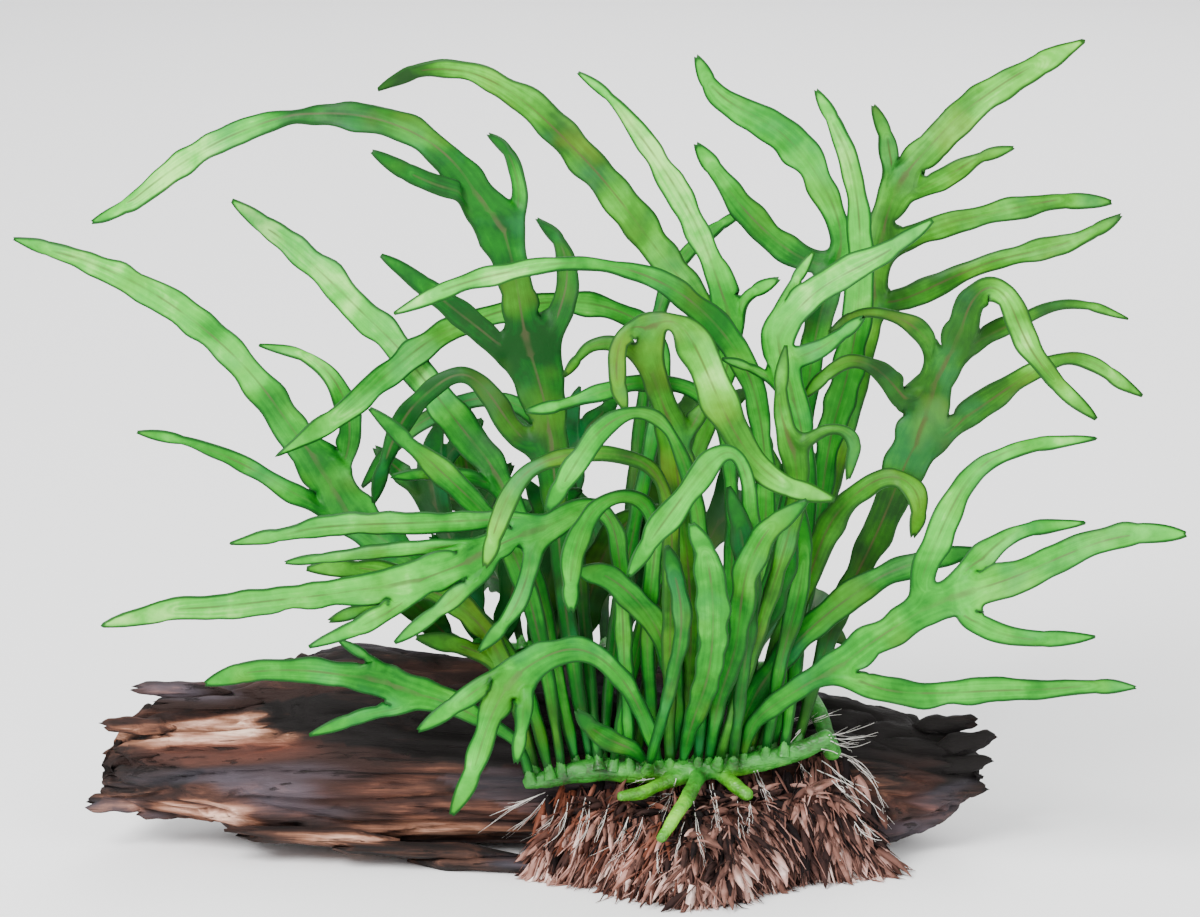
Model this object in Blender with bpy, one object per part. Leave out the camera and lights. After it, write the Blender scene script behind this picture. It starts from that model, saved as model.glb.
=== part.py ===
"""Java fern on driftwood: a lobed water fern whose rhizome creeps along a weathered log.

Everything is in metres with +Z up. The origin is on the ground, in the middle of the log's flat underside,
and the fern faces -Y. Routes of fronds are given as they look to someone who faces the fern and looks
slightly down on it: millimetres across, millimetres up, and the half width of the blade there. A depth,
in millimetres behind the origin, then fixes where on that line of sight the point is.
"""

import math

import bmesh
import bpy
from mathutils import Vector

MM = 0.001

# The driving sizes, in millimetres.
LOG_FRONT = -19.0
LOG_BACK = 33.0
RHIZOME_RADIUS = 2.7
RHIZOME_DEPTH = -20.0
FRONT_ROW = -21.6
BACK_ROW = -18.4
STUB_RADIUS = 1.9
STALK_HALF_WIDTH = 1.1
GAP = 0.4
MIDRIB_HALF_THICKNESS = 0.55
MIDRIB_SHARE_OF_WIDTH = 0.06
LOBE_CLEARANCE = 0.9
LONGEST_SLIDE = 0.7
NARROW_BLADE = 2.7
LOWER_FULLNESS = 0.9
FULLEST_HEIGHT = 60.0
FULLNESS_REACH = 45.0
FORK_OPENING = 0.4
LEAN_AT_MIDDLE = 0.45
REAR_LOBE_ANGLES = (38.0, -42.0)
SECOND_LOBE_SHARE = 0.85
LOBE_FLARE = 1.25
LOBE_BEND = 0.5
LOBE_START = 1.0
REAR_STEM_SHARE = 0.8
STEM_END_SHARE = 0.5
STUB_TAPER = 0.12
SHORT_TUFT = 0.86
TUFT_SLUMP = 0.04
TUFT_LENGTH = 3.7
TUFTED_FROM = 0.3
FAR_FORK_WEIGHT = 0.35

# The line of sight that the routes are read along.
VIEW_ELEVATION = math.radians(15.0)
VIEW_DISTANCE = 1125.0
VIEW_HEIGHT = 95.9

VIEW_DIRECTION = Vector((0.0, math.cos(VIEW_ELEVATION), -math.sin(VIEW_ELEVATION)))
VIEW_UP = Vector((0.0, math.sin(VIEW_ELEVATION), math.cos(VIEW_ELEVATION)))
EYE = VIEW_UP * VIEW_HEIGHT - VIEW_DIRECTION * VIEW_DISTANCE

# The rhizome's middle line, as it is seen: millimetres across and up.
RHIZOME_LINE = [
    (-19.0, 14.5),
    (-12.0, 16.0),
    (-6.0, 17.5),
    (0.0, 18.2),
    (12.0, 17.6),
    (25.0, 18.2),
    (35.0, 19.4),
    (45.0, 21.4),
    (52.0, 23.6),
    (58.0, 26.0),
]
# The rhizome's thickness at each point of its line, as a share of its radius.
RHIZOME_TAPER = (0.55, 0.8, 1, 1, 1, 1, 1, 0.95, 0.85, STEM_END_SHARE)

for thing in list(bpy.data.objects):
    bpy.data.objects.remove(thing)

plant = bpy.data.collections.new("java_fern_on_driftwood")
bpy.context.scene.collection.children.link(plant)


def linear(value):
    """One sRGB channel, 0 to 255, as the linear value that Blender takes."""
    share = value / 255.0
    if share <= 0.04045:
        return share / 12.92
    return ((share + 0.055) / 1.055) ** 2.4


def finish(name, red, green, blue, roughness):
    """A plain Principled material of one colour."""
    material = bpy.data.materials.new(name)
    material.use_nodes = True
    shader = material.node_tree.nodes["Principled BSDF"]
    shader.inputs["Base Color"].default_value = (linear(red), linear(green), linear(blue), 1.0)
    shader.inputs["Roughness"].default_value = roughness
    shader.inputs["Metallic"].default_value = 0.0
    return material


PALE_LEAF = finish("pale_leaf", 140, 214, 130, 0.42)
DARK_LEAF = finish("dark_leaf", 34, 120, 38, 0.42)
OLIVE_LEAF = finish("olive_leaf", 107, 155, 43, 0.42)
GREEN_STEM = finish("green_stem", 120, 190, 60, 0.45)
ROOTS = finish("brown_roots", 132, 96, 92, 0.9)
WOOD = finish("weathered_wood", 92, 70, 60, 0.85)


def seen(across, up, back):
    """The point that is seen at (across, up) and lies back millimetres behind the origin."""
    on_plane = Vector((across, 0.0, 0.0)) + VIEW_UP * up
    share = (back - EYE.y) / (on_plane.y - EYE.y)
    return EYE + (on_plane - EYE) * share


def as_seen(point):
    """Where this point is seen: millimetres across and up."""
    sight = point - EYE
    share = VIEW_DISTANCE / sight.dot(VIEW_DIRECTION)
    return sight.x * share, VIEW_HEIGHT + sight.dot(VIEW_UP) * share


def add_object(name, mesh_or_curve, material):
    """An object in the plant's collection, with its material."""
    thing = bpy.data.objects.new(name, mesh_or_curve)
    thing.data.materials.append(material)
    plant.objects.link(thing)
    return thing


def mesh_object(name, work, material):
    """A bmesh whose points are in millimetres, as an object in metres with its faces outwards."""
    bmesh.ops.triangulate(work, faces=work.faces[:])
    bmesh.ops.recalc_face_normals(work, faces=work.faces[:])
    bmesh.ops.scale(work, vec=(MM, MM, MM), verts=work.verts[:])
    mesh = bpy.data.meshes.new(name)
    work.to_mesh(mesh)
    work.free()
    return add_object(name, mesh, material)


def through(values, share):
    """The smooth value at share 0 to 1 of a run that has these three values at its foot, middle and tip."""
    foot, middle, tip = values
    at_foot = (1.0 - share) * (1.0 - 2.0 * share)
    at_middle = 4.0 * share * (1.0 - share)
    at_tip = share * (2.0 * share - 1.0)
    return foot * at_foot + middle * at_middle + tip * at_tip


def between(stations, across):
    """The values beside across in a list of stations, read at this place."""
    for near, far in zip(stations, stations[1:]):
        if across <= far[0]:
            share = (across - near[0]) / (far[0] - near[0])
            return [one + (other - one) * share for one, other in zip(near[1:], far[1:])]
    return list(stations[-1][1:])


def rhizome_top(across, row):
    """How high a frond's foot is seen, just above the rhizome."""
    lift = (RHIZOME_RADIUS + GAP) * math.cos(VIEW_ELEVATION)
    return between(RHIZOME_LINE, across)[0] + lift + (row - RHIZOME_DEPTH) * math.sin(VIEW_ELEVATION)


def run_shares(route):
    """How far along its route each station is, from 0 to 1."""
    lengths = [0.0]
    for before, after in zip(route, route[1:]):
        lengths.append(lengths[-1] + math.hypot(after[0] - before[0], after[1] - before[1]))
    return [length / lengths[-1] for length in lengths]


def blade_ring(work, centre, along, half_width, roll):
    """Left, upper, right and lower point of a blade's lens-shaped section."""
    sideways = VIEW_DIRECTION.cross(along).normalized()
    towards = sideways.cross(along).normalized()
    side = sideways * math.cos(roll) + towards * math.sin(roll)
    out = side.cross(along).normalized()
    width = half_width / math.cos(roll)
    thick = MIDRIB_HALF_THICKNESS + MIDRIB_SHARE_OF_WIDTH * half_width
    offsets = (side * -width, out * thick, side * width, out * -thick)
    return [work.verts.new(centre + offset) for offset in offsets]


def blade(work, route, depths, rolls, first_ring=None):
    """A blade along a route, from its foot or from the ring it grows from, to a point. Returns its rings."""
    shares = run_shares(route)
    centres = [seen(station[0], station[1], through(depths, share)) for station, share in zip(route, shares)]
    rings = [] if first_ring is None else [first_ring]
    begin = 0 if first_ring is None else 1
    for index in range(begin, len(route) - 1):
        ahead = (centres[index + 1] - centres[index]).normalized()
        behind = (centres[index] - centres[index - 1]).normalized() if index else ahead
        roll = math.radians(rolls[0] + (rolls[1] - rolls[0]) * shares[index])
        rings.append(blade_ring(work, centres[index], (ahead + behind).normalized(), route[index][2], roll))
    tip = work.verts.new(centres[-1])
    return centres, rings, tip


def skin(work, rings, tip, open_sides):
    """The faces between a blade's rings; an open side is where a lobe grows, and keeps its own ring."""
    for index, (ring, onward) in enumerate(zip(rings, rings[1:])):
        for corner in range(4):
            following = (corner + 1) % 4
            edge_corner = corner if corner in (0, 2) else following
            middle = corner if corner in (1, 3) else following
            lobe = open_sides.get((index, edge_corner))
            if lobe is None:
                work.faces.new((ring[corner], ring[following], onward[following], onward[corner]))
                continue
            inserted = lobe[1] if middle == 1 else lobe[3]
            work.faces.new((ring[middle], ring[edge_corner], inserted))
            work.faces.new((ring[middle], inserted, onward[middle]))
            work.faces.new((onward[middle], inserted, onward[edge_corner]))
    for corner in range(4):
        work.faces.new((rings[-1][corner], rings[-1][(corner + 1) % 4], tip))


def lobe_ring(work, rings, index, corner):
    """The ring that a lobe grows from: the blade's edge between two stations, parted into a thin lens."""
    near = rings[index][corner]
    far = rings[index + 1][corner]
    upper = (rings[index][1].co + rings[index + 1][1].co) / 2.0
    lower = (rings[index][3].co + rings[index + 1][3].co) / 2.0
    half = (upper - lower) * FORK_OPENING
    middle = (near.co + far.co) / 2.0
    above = work.verts.new(middle + half)
    below = work.verts.new(middle - half)
    if corner == 0:
        return [near, above, far, below]
    return [far, above, near, below]


def frond(name, material, foot, route, depths, rolls=(0.0, 0.0), lobes=()):
    """A frond: its main blade from its foot on the rhizome, and its lobes.

    The foot is (across, row). A lobe is (station, route, lean, rolls, lobes of its own): it grows from the
    blade's edge between that station and the next, and its tip leans back by lean.
    """
    work = bmesh.new()
    across, row = foot
    route = [(across, rhizome_top(across, row), STALK_HALF_WIDTH)] + [fuller(station) for station in route]
    depths = (row,) + tuple(depths)
    centres, rings, tip = blade(work, route, depths, rolls)
    work.faces.new(reversed(rings[0]))
    grow_lobes(work, route, depths, centres, rings, tip, lobes)
    return mesh_object(name, work, material)


def fuller(station):
    """A station whose narrow blade is broadened, most at the height where the stalk has become a blade."""
    if len(station) == 2 or station[2] > NARROW_BLADE:
        return station
    across, up, half_width = station
    near = max(0.0, 1.0 - abs(up - FULLEST_HEIGHT) / FULLNESS_REACH)
    return (across, up, half_width + LOWER_FULLNESS * near)


def grow_lobes(work, route, depths, centres, rings, tip, lobes):
    """The blade's skin, with each lobe growing from the edge that it points away from."""
    shares = run_shares(route)
    open_sides = {}
    for station, lobe_route, lean, lobe_rolls, own_lobes in lobes:
        first = seen(lobe_route[0][0], lobe_route[0][1], through(depths, shares[station]))
        left = (rings[station][0].co + rings[station + 1][0].co) / 2.0
        right = (rings[station][2].co + rings[station + 1][2].co) / 2.0
        corner = 0 if (first - left).length < (first - right).length else 2
        station = fork_station(rings, corner, lobe_route, [key[0] for key in open_sides if key[1] == corner])
        ring = lobe_ring(work, rings, station, corner)
        open_sides[(station, corner)] = ring
        start = route_middle(route[station], route[station + 1])
        full_route = [start] + list(lobe_route)
        depth = (rings[station][corner].co.y + rings[station + 1][corner].co.y) / 2.0
        lobe_depths = (depth, depth + lean * LEAN_AT_MIDDLE, depth + lean)
        lobe_centres, lobe_rings, lobe_tip = blade(work, full_route, lobe_depths, lobe_rolls, ring)
        clear_of_edge(lobe_rings, centres[station] + centres[station + 1], lobe_centres)
        grow_lobes(work, full_route, lobe_depths, lobe_centres, lobe_rings, lobe_tip, own_lobes)
    skin(work, rings, tip, open_sides)


def fork_station(rings, corner, lobe_route, taken):
    """The station after which a lobe parts from its blade: where its first run, led back, meets the edge."""
    first = Vector(lobe_route[0][:2])
    heading = (Vector(lobe_route[1][:2]) - first).normalized()
    best = None
    for station in range(1, len(rings) - 1):
        if station in taken:
            continue
        near = Vector(as_seen(rings[station][corner].co))
        far = Vector(as_seen(rings[station + 1][corner].co))
        middle = (near + far) / 2.0 - first
        behind = -middle.dot(heading)
        beside = abs(middle.cross(heading))
        miss = beside + max(0.0, -behind) + FAR_FORK_WEIGHT * max(0.0, behind)
        if best is None or miss < best[0]:
            best = (miss, station)
    return best[1]


def clear_of_edge(rings, blade_middle_twice, centres):
    """Slides the points of a lobe's first section on along the lobe until they are outside its blade."""
    near = Vector(as_seen(rings[0][0].co))
    far = Vector(as_seen(rings[0][2].co))
    edge = (far - near).normalized()
    outwards = Vector((edge.y, -edge.x))
    if (Vector(as_seen(blade_middle_twice / 2.0)) - near).dot(outwards) > 0.0:
        outwards = -outwards
    onward = centres[2] - centres[1]
    reach = (Vector(as_seen(centres[2])) - Vector(as_seen(centres[1]))).dot(outwards)
    for corner in rings[1]:
        lack = LOBE_CLEARANCE - (Vector(as_seen(corner.co)) - near).dot(outwards)
        if lack > 0.0 and reach > 0.0:
            corner.co += onward * min(lack / reach, LONGEST_SLIDE)


def route_middle(station, following):
    """The station half way between two."""
    return tuple((one + other) / 2.0 for one, other in zip(station, following))


# Along the root mat: millimetres across, then its top and how far it reaches forward.
ROOT_STATIONS = [
    (-16.0, 7.0, 3.5),
    (-10.0, 14.5, 8.0),
    (0.0, 17.9, 12.0),
    (10.0, 17.9, 19.0),
    (20.0, 18.0, 29.0),
    (30.0, 18.9, 24.5),
    (40.0, 20.0, 15.5),
    (47.0, 20.8, 10.5),
    (55.0, 21.2, 9.0),
    (62.0, 15.0, 6.5),
    (69.0, 5.0, 3.0),
]
ROOT_STEP = 4.2
ROOT_BACK = -20.6
# Round the root mat's section, from the ground behind: share of the forward reach, share of the height.
ROOT_PROFILE = [
    (0.0, 0.0),
    (0.45, 0.0),
    (0.86, 0.1),
    (1.0, 0.26),
    (0.9, 0.45),
    (0.68, 0.7),
    (0.42, 0.92),
    (0.24, 1.0),
    (0.0, 1.0),
]

# The rhizome's branch over the log's right and along behind its crest: millimetres across and back.
REAR_STEM_BACK = 20.0
REAR_STEM = [
    (57.0, -15.0),
    (54.0, -8.0),
    (50.0, 0.0),
    (45.0, 9.0),
    (38.5, 16.0),
    (30.0, REAR_STEM_BACK),
    (10.0, REAR_STEM_BACK),
    (-10.0, REAR_STEM_BACK),
    (-40.0, REAR_STEM_BACK),
]

# Each station's share of a rear lobe's half width.
LOBE_SHAPE = (1.0, 1.1, 0.7, 0.0)

# Along the log: millimetres across, then its lowest, highest, front and back reach.
LOG_STATIONS = [
    (-127.0, 13.0, 24.0, -7.0, -1.0),
    (-121.0, 9.5, 33.0, -10.0, 6.0),
    (-112.0, 8.5, 39.5, -12.0, 14.0),
    (-99.0, 8.0, 41.5, -13.5, 21.0),
    (-92.0, 3.5, 42.5, -15.5, 25.0),
    (-76.0, 2.4, 48.0, -17.5, 29.0),
    (-60.0, 0.0, 52.0, -19.0, 32.0),
    (-40.0, 0.0, 48.5, -19.0, LOG_BACK),
    (-20.0, 0.0, 47.0, LOG_FRONT, LOG_BACK),
    (10.0, 0.0, 46.0, LOG_FRONT, LOG_BACK),
    (40.0, 0.0, 41.0, LOG_FRONT, 30.0),
    (58.0, 0.0, 38.5, LOG_FRONT, 27.0),
    (70.0, 2.0, 35.5, -17.0, 23.0),
    (82.0, 4.5, 32.0, -14.5, 18.0),
    (90.0, 8.5, 30.5, -12.5, 14.0),
    (99.0, 17.0, 28.0, -8.0, 5.0),
]
END_RAGGED = 4.0
END_REACH = 26.0
LOG_SIDES = 20
LOG_STEP = 7.5
UPPER_ROUNDNESS = 1.55
LOWER_ROUNDNESS = 3.2
# Share of the log's height where it is widest.
WIDEST_SHARE = 0.42
FOLD_DEPTH = 1.5
# Folds round the log, as (waves round it, millimetres along in which they turn, share of the depth).
FOLD_WAVES = ((5.0, 21.0, 1.0), (9.0, -13.0, 0.7))
# The torn ends, as (waves round the log, where they start, share of the raggedness).
TEAR_WAVES = ((3.0, 0.6, 0.6), (7.0, 1.0, 0.36))
FLAT_BELOW = 0.6
FLAT_UNDERNEATH = 2.1


def log_point(across, turn):
    """A point of the log's surface: turn runs round the section, from the back over the top to the front."""
    low, high, front, back = between(LOG_STATIONS, across)
    middle_y = (front + back) / 2.0
    middle_z = low + (high - low) * WIDEST_SHARE
    cosine = math.cos(turn)
    sine = math.sin(turn)
    roundness = UPPER_ROUNDNESS if sine > 0.0 else LOWER_ROUNDNESS
    reach = (abs(cosine) ** roundness + abs(sine) ** roundness) ** (-1.0 / roundness)
    folds = sum(amount * math.sin(count * turn + across / length) for count, length, amount in FOLD_WAVES)
    y = middle_y + (back - front) / 2.0 * cosine * reach
    tall = (high - middle_z) if sine > 0.0 else (middle_z - low)
    z = middle_z + tall * sine * reach
    deepest = sum(amount for _, _, amount in FOLD_WAVES)
    shrink = 1.0 - (folds + deepest) * FOLD_DEPTH / (high - low + back - front)
    y = middle_y + (y - middle_y) * shrink
    z = middle_z + (z - middle_z) * shrink
    if z < low + (FLAT_UNDERNEATH if sine < -0.5 else FLAT_BELOW):
        z = low
    to_end = min(across - LOG_STATIONS[0][0], LOG_STATIONS[-1][0] - across)
    ragged = END_RAGGED * max(0.0, 1.0 - to_end / END_REACH) ** 2
    tear = sum(amount * math.sin(count * turn + start) for count, start, amount in TEAR_WAVES)
    inwards = 1.0 if across < 0.0 else -1.0
    return Vector((across + inwards * ragged * (1.0 + tear), y, z))


def log_top(across, back):
    """The height of the log's smooth upper face over this place."""
    low, high, front, behind = between(LOG_STATIONS, across)
    middle_z = low + (high - low) * WIDEST_SHARE
    share = abs(back - (front + behind) / 2.0) / ((behind - front) / 2.0)
    return middle_z + (high - middle_z) * (1.0 - share**UPPER_ROUNDNESS) ** (1.0 / UPPER_ROUNDNESS)


def rear_stem_point(across):
    """The middle of the rhizome's rear stretch, lying on the log."""
    return Vector((across, REAR_STEM_BACK, log_top(across, REAR_STEM_BACK) + RHIZOME_RADIUS + GAP))


def driftwood():
    """The log: a loft of sections that are flat below, with long folds and splintered, slanting ends."""
    work = bmesh.new()
    first = LOG_STATIONS[0][0]
    last = LOG_STATIONS[-1][0]
    count = round((last - first) / LOG_STEP)
    turns = [2.0 * math.pi * corner / LOG_SIDES for corner in range(LOG_SIDES)]
    rings = []
    for index in range(count + 1):
        across = first + (last - first) * index / count
        rings.append([work.verts.new(log_point(across, turn)) for turn in turns])
    for ring, onward in zip(rings, rings[1:]):
        for corner in range(LOG_SIDES):
            following = (corner + 1) % LOG_SIDES
            work.faces.new((ring[corner], ring[following], onward[following], onward[corner]))
    work.faces.new(rings[0])
    work.faces.new(rings[-1])
    return mesh_object("driftwood", work, WOOD)


driftwood()


def tube(name, points, radii, material):
    """A tapering stem of round section along points in millimetres, as a mesh with its caps welded."""
    curve = bpy.data.curves.new(name, "CURVE")
    curve.dimensions = "3D"
    curve.bevel_depth = MM
    curve.bevel_resolution = 1
    curve.use_fill_caps = True
    spline = curve.splines.new("POLY")
    spline.points.add(len(points) - 1)
    for place, point, radius in zip(spline.points, points, radii):
        place.co = (point.x * MM, point.y * MM, point.z * MM, 1.0)
        place.radius = radius
    thing = bpy.data.objects.new(name, curve)
    plant.objects.link(thing)
    bpy.context.view_layer.update()
    evaluated = thing.evaluated_get(bpy.context.evaluated_depsgraph_get())
    mesh = bpy.data.meshes.new_from_object(evaluated)
    bpy.data.objects.remove(thing)
    work = bmesh.new()
    work.from_mesh(mesh)
    bmesh.ops.remove_doubles(work, verts=work.verts[:], dist=0.00001)
    bmesh.ops.recalc_face_normals(work, faces=work.faces[:])
    work.to_mesh(mesh)
    work.free()
    mesh.materials.clear()
    return add_object(name, mesh, material)


def joined(body, others):
    """The body with the others joined to it by Boolean unions."""
    for other in others:
        union = body.modifiers.new("join_" + other.name, "BOOLEAN")
        union.operation = "UNION"
        union.object = other
        plant.objects.unlink(other)
        guides.objects.link(other)
        other.hide_render = True
        other.display_type = "WIRE"
    return body


guides = bpy.data.collections.new("guides")
bpy.context.scene.collection.children.link(guides)


def rhizome():
    """The creeping stem along the log's front, with short bright stubs that point down and forward."""
    line = [seen(across, up, RHIZOME_DEPTH) for across, up in RHIZOME_LINE]
    radii = [RHIZOME_RADIUS * share for share in RHIZOME_TAPER]
    stem = tube("rhizome", line, radii, GREEN_STEM)
    routes = {
        "stub_left": [(21.5, 17.0, -20.5), (15.0, 14.3, -26.0), (10.0, 12.2, -30.5), (4.5, 11.3, -33.0)],
        "stub_middle": [(25.0, 17.0, -21.5), (23.2, 13.4, -29.0), (20.0, 8.2, -36.5), (15.0, 0.5, -43.0)],
        "stub_right": [(29.5, 17.5, -20.5), (33.5, 14.5, -26.0), (37.5, 11.5, -30.0)],
    }
    climb = [seen(52.0, 23.6, RHIZOME_DEPTH), seen(56.5, 26.0, RHIZOME_DEPTH)]
    climb += [Vector((x, y, log_top(x, y) + RHIZOME_RADIUS + GAP)) for x, y in REAR_STEM]
    widths = [RHIZOME_RADIUS * REAR_STEM_SHARE] * (len(climb) - 1) + [RHIZOME_RADIUS * STEM_END_SHARE]
    stubs = [tube("rear_stem", climb, widths, GREEN_STEM)]
    for name, route in routes.items():
        points = [seen(*station) for station in route]
        widths = [STUB_RADIUS * (1.0 - STUB_TAPER * index) for index in range(len(points))]
        stubs.append(tube(name, points, widths, GREEN_STEM))
    return joined(stem, stubs)


rhizome()


def left_fronds():
    """The fronds that rise or arch to the left."""
    hook = [(-20, 101, 3.2), (-25, 108, 3.0), (-28.5, 113.5, 2.6), (-33.5, 117.6, 2.1), (-38.5, 116, 2.1),
            (-43, 112.5, 2.4), (-47.5, 108.5, 2.8), (-51, 102.5, 2.5), (-54, 95, 2.0), (-56.5, 85.3)]
    left_tip = [(-31, 161.5, 2.6), (-36.5, 163, 2.8), (-42, 164.5, 2.4), (-48, 167.3, 2.1), (-56.2, 172.2)]
    right_curl = [(-20.2, 158, 2.2), (-20, 163, 2.1), (-20.8, 168, 1.8), (-22.5, 173, 1.4), (-27.3, 176.3)]
    right_low = [(-10.5, 132, 2.7), (-8.3, 138, 2.9), (-8, 144.5, 2.4), (-9.4, 150.5, 1.5), (-15.5, 155.5)]
    left_low = [(-24.5, 123.5, 3.0), (-29, 127.5, 3.3), (-36, 132.7, 3.0), (-43.5, 139, 2.3), (-54, 146.3)]
    frond("frond_tall_left", DARK_LEAF, (-2.5, BACK_ROW),
          [(-6.5, 43, 1.3), (-9.5, 66, 1.6), (-11, 84, 2.6), (-11.5, 96, 4.4), (-12.4, 104, 4.7),
           (-14.6, 113, 5.3), (-17, 121, 7.0), (-19, 128, 5.0), (-20.6, 138, 3.9), (-22, 146, 4.4),
           (-24, 152, 5.5), (-27.5, 157.5, 5.3), (-31.5, 163.5, 3.9), (-37, 171, 3.6), (-45, 177, 3.8),
           (-56, 181.3, 3.7), (-67, 182.4, 2.9), (-76, 181.8, 1.9), (-85, 179.6, 2.3), (-95, 175.5, 3.1),
           (-105, 169.5, 3.1), (-112.5, 164, 3.1), (-119, 158.5, 1.8), (-126.5, 155.3)],
          (-2, 16), (18, -32),
          [(4, hook, 7, (-25, 20), ()), (7, left_low, -3, (-20, -10), ()), (8, right_low, 6, (20, 30), ()),
           (12, left_tip, -8, (-20, 10), ()), (11, right_curl, 8, (25, 40), ())])

    upper = [(-24.5, 86, 1.8), (-31, 91.3, 2.2), (-38, 92.3, 2.0), (-45, 92, 1.6), (-51.8, 91.3)]
    frond("frond_left_pale", PALE_LEAF, (-6.2, BACK_ROW),
          [(-9.4, 36, 1.3), (-14, 58, 1.4), (-19, 76, 2.0), (-22.5, 86, 2.8), (-27, 94.5, 3.4),
           (-31, 99, 4.0), (-39, 109.2, 4.1), (-45.5, 117.8, 4.0), (-52, 125.5, 3.5), (-58, 131, 3.8),
           (-66, 139, 4.2), (-77, 149.3, 3.0), (-84, 154, 2.2), (-91.8, 159.8)],
          (2, 34), (-20, 30), [(4, upper, -3, (0, 30), ())])

    lower = [(-28, 81.5, 1.6), (-34, 83.6, 1.8), (-42, 85.4, 2.0), (-52.6, 86.5)]
    frond("frond_left_short", DARK_LEAF, (-9.8, FRONT_ROW),
          [(-12.5, 40, 1.2), (-17, 60, 1.5), (-21.5, 73, 2.2), (-26, 79.5, 2.8), (-32, 85.6, 3.1),
           (-40, 93, 2.8), (-47, 99.5, 2.0), (-57, 108)],
          (-16, -9), (10, 35), [(4, lower, 5, (-10, 20), ())])

    right = [(-63.6, 95, 3.0), (-62.2, 102, 3.1), (-63.2, 110, 2.8), (-67, 116.8, 2.1), (-73.5, 122.2, 1.5),
             (-84.3, 123.8)]
    left = [(-71, 84.5, 2.2), (-77, 87.4, 2.5), (-84, 91.8, 2.5), (-95, 97.6, 1.9), (-104, 100.7, 1.3),
            (-115.3, 102.4)]
    frond("frond_far_left", DARK_LEAF, (-12.9, FRONT_ROW),
          [(-17, 37, 1.4), (-26, 52, 1.6), (-42, 67, 2.4), (-55, 76, 4.5), (-63, 82.5, 6.0),
           (-67, 89, 5.6), (-73, 97.5, 4.3), (-79, 106.5, 4.2), (-87, 117.5, 4.0), (-97, 127, 3.9),
           (-108, 135.2, 3.8), (-118, 141.1, 3.3), (-130, 146, 2.5), (-138, 148.5, 1.6), (-146.3, 150.8)],
          (8, 28), (-15, 25), [(5, left, -6, (-10, 25), ()), (6, right, 10, (10, -30), ())])

    frond("frond_long_arch", PALE_LEAF, (0.8, BACK_ROW),
          [(2.5, 45, 1.2), (7.5, 75, 1.4), (13, 100, 1.7), (16.5, 118, 2.2), (14.5, 127.5, 2.6),
           (7, 132.3, 2.7), (-3, 135.2, 2.8), (-14, 135.3, 2.7), (-26.5, 132.5, 2.9), (-36.5, 128.5, 2.6),
           (-42, 126, 3.3), (-48, 121.5, 3.5), (-57, 113.7, 3.0), (-65.5, 106, 2.6), (-81, 96.7)],
          (12, -5), (-20, 25))

    frond("frond_behind_arch", DARK_LEAF, (-0.4, FRONT_ROW),
          [(-3.5, 50, 1.2), (-6, 78, 1.4), (-9, 97, 1.8), (-15, 106.5, 2.2), (-24, 111, 2.3), (-32, 111, 2.0),
           (-40, 107.5, 2.2), (-47, 103.5, 2.2), (-53, 98, 2.0), (-59.5, 89)],
          (10, 22), (15, -30))


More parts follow.
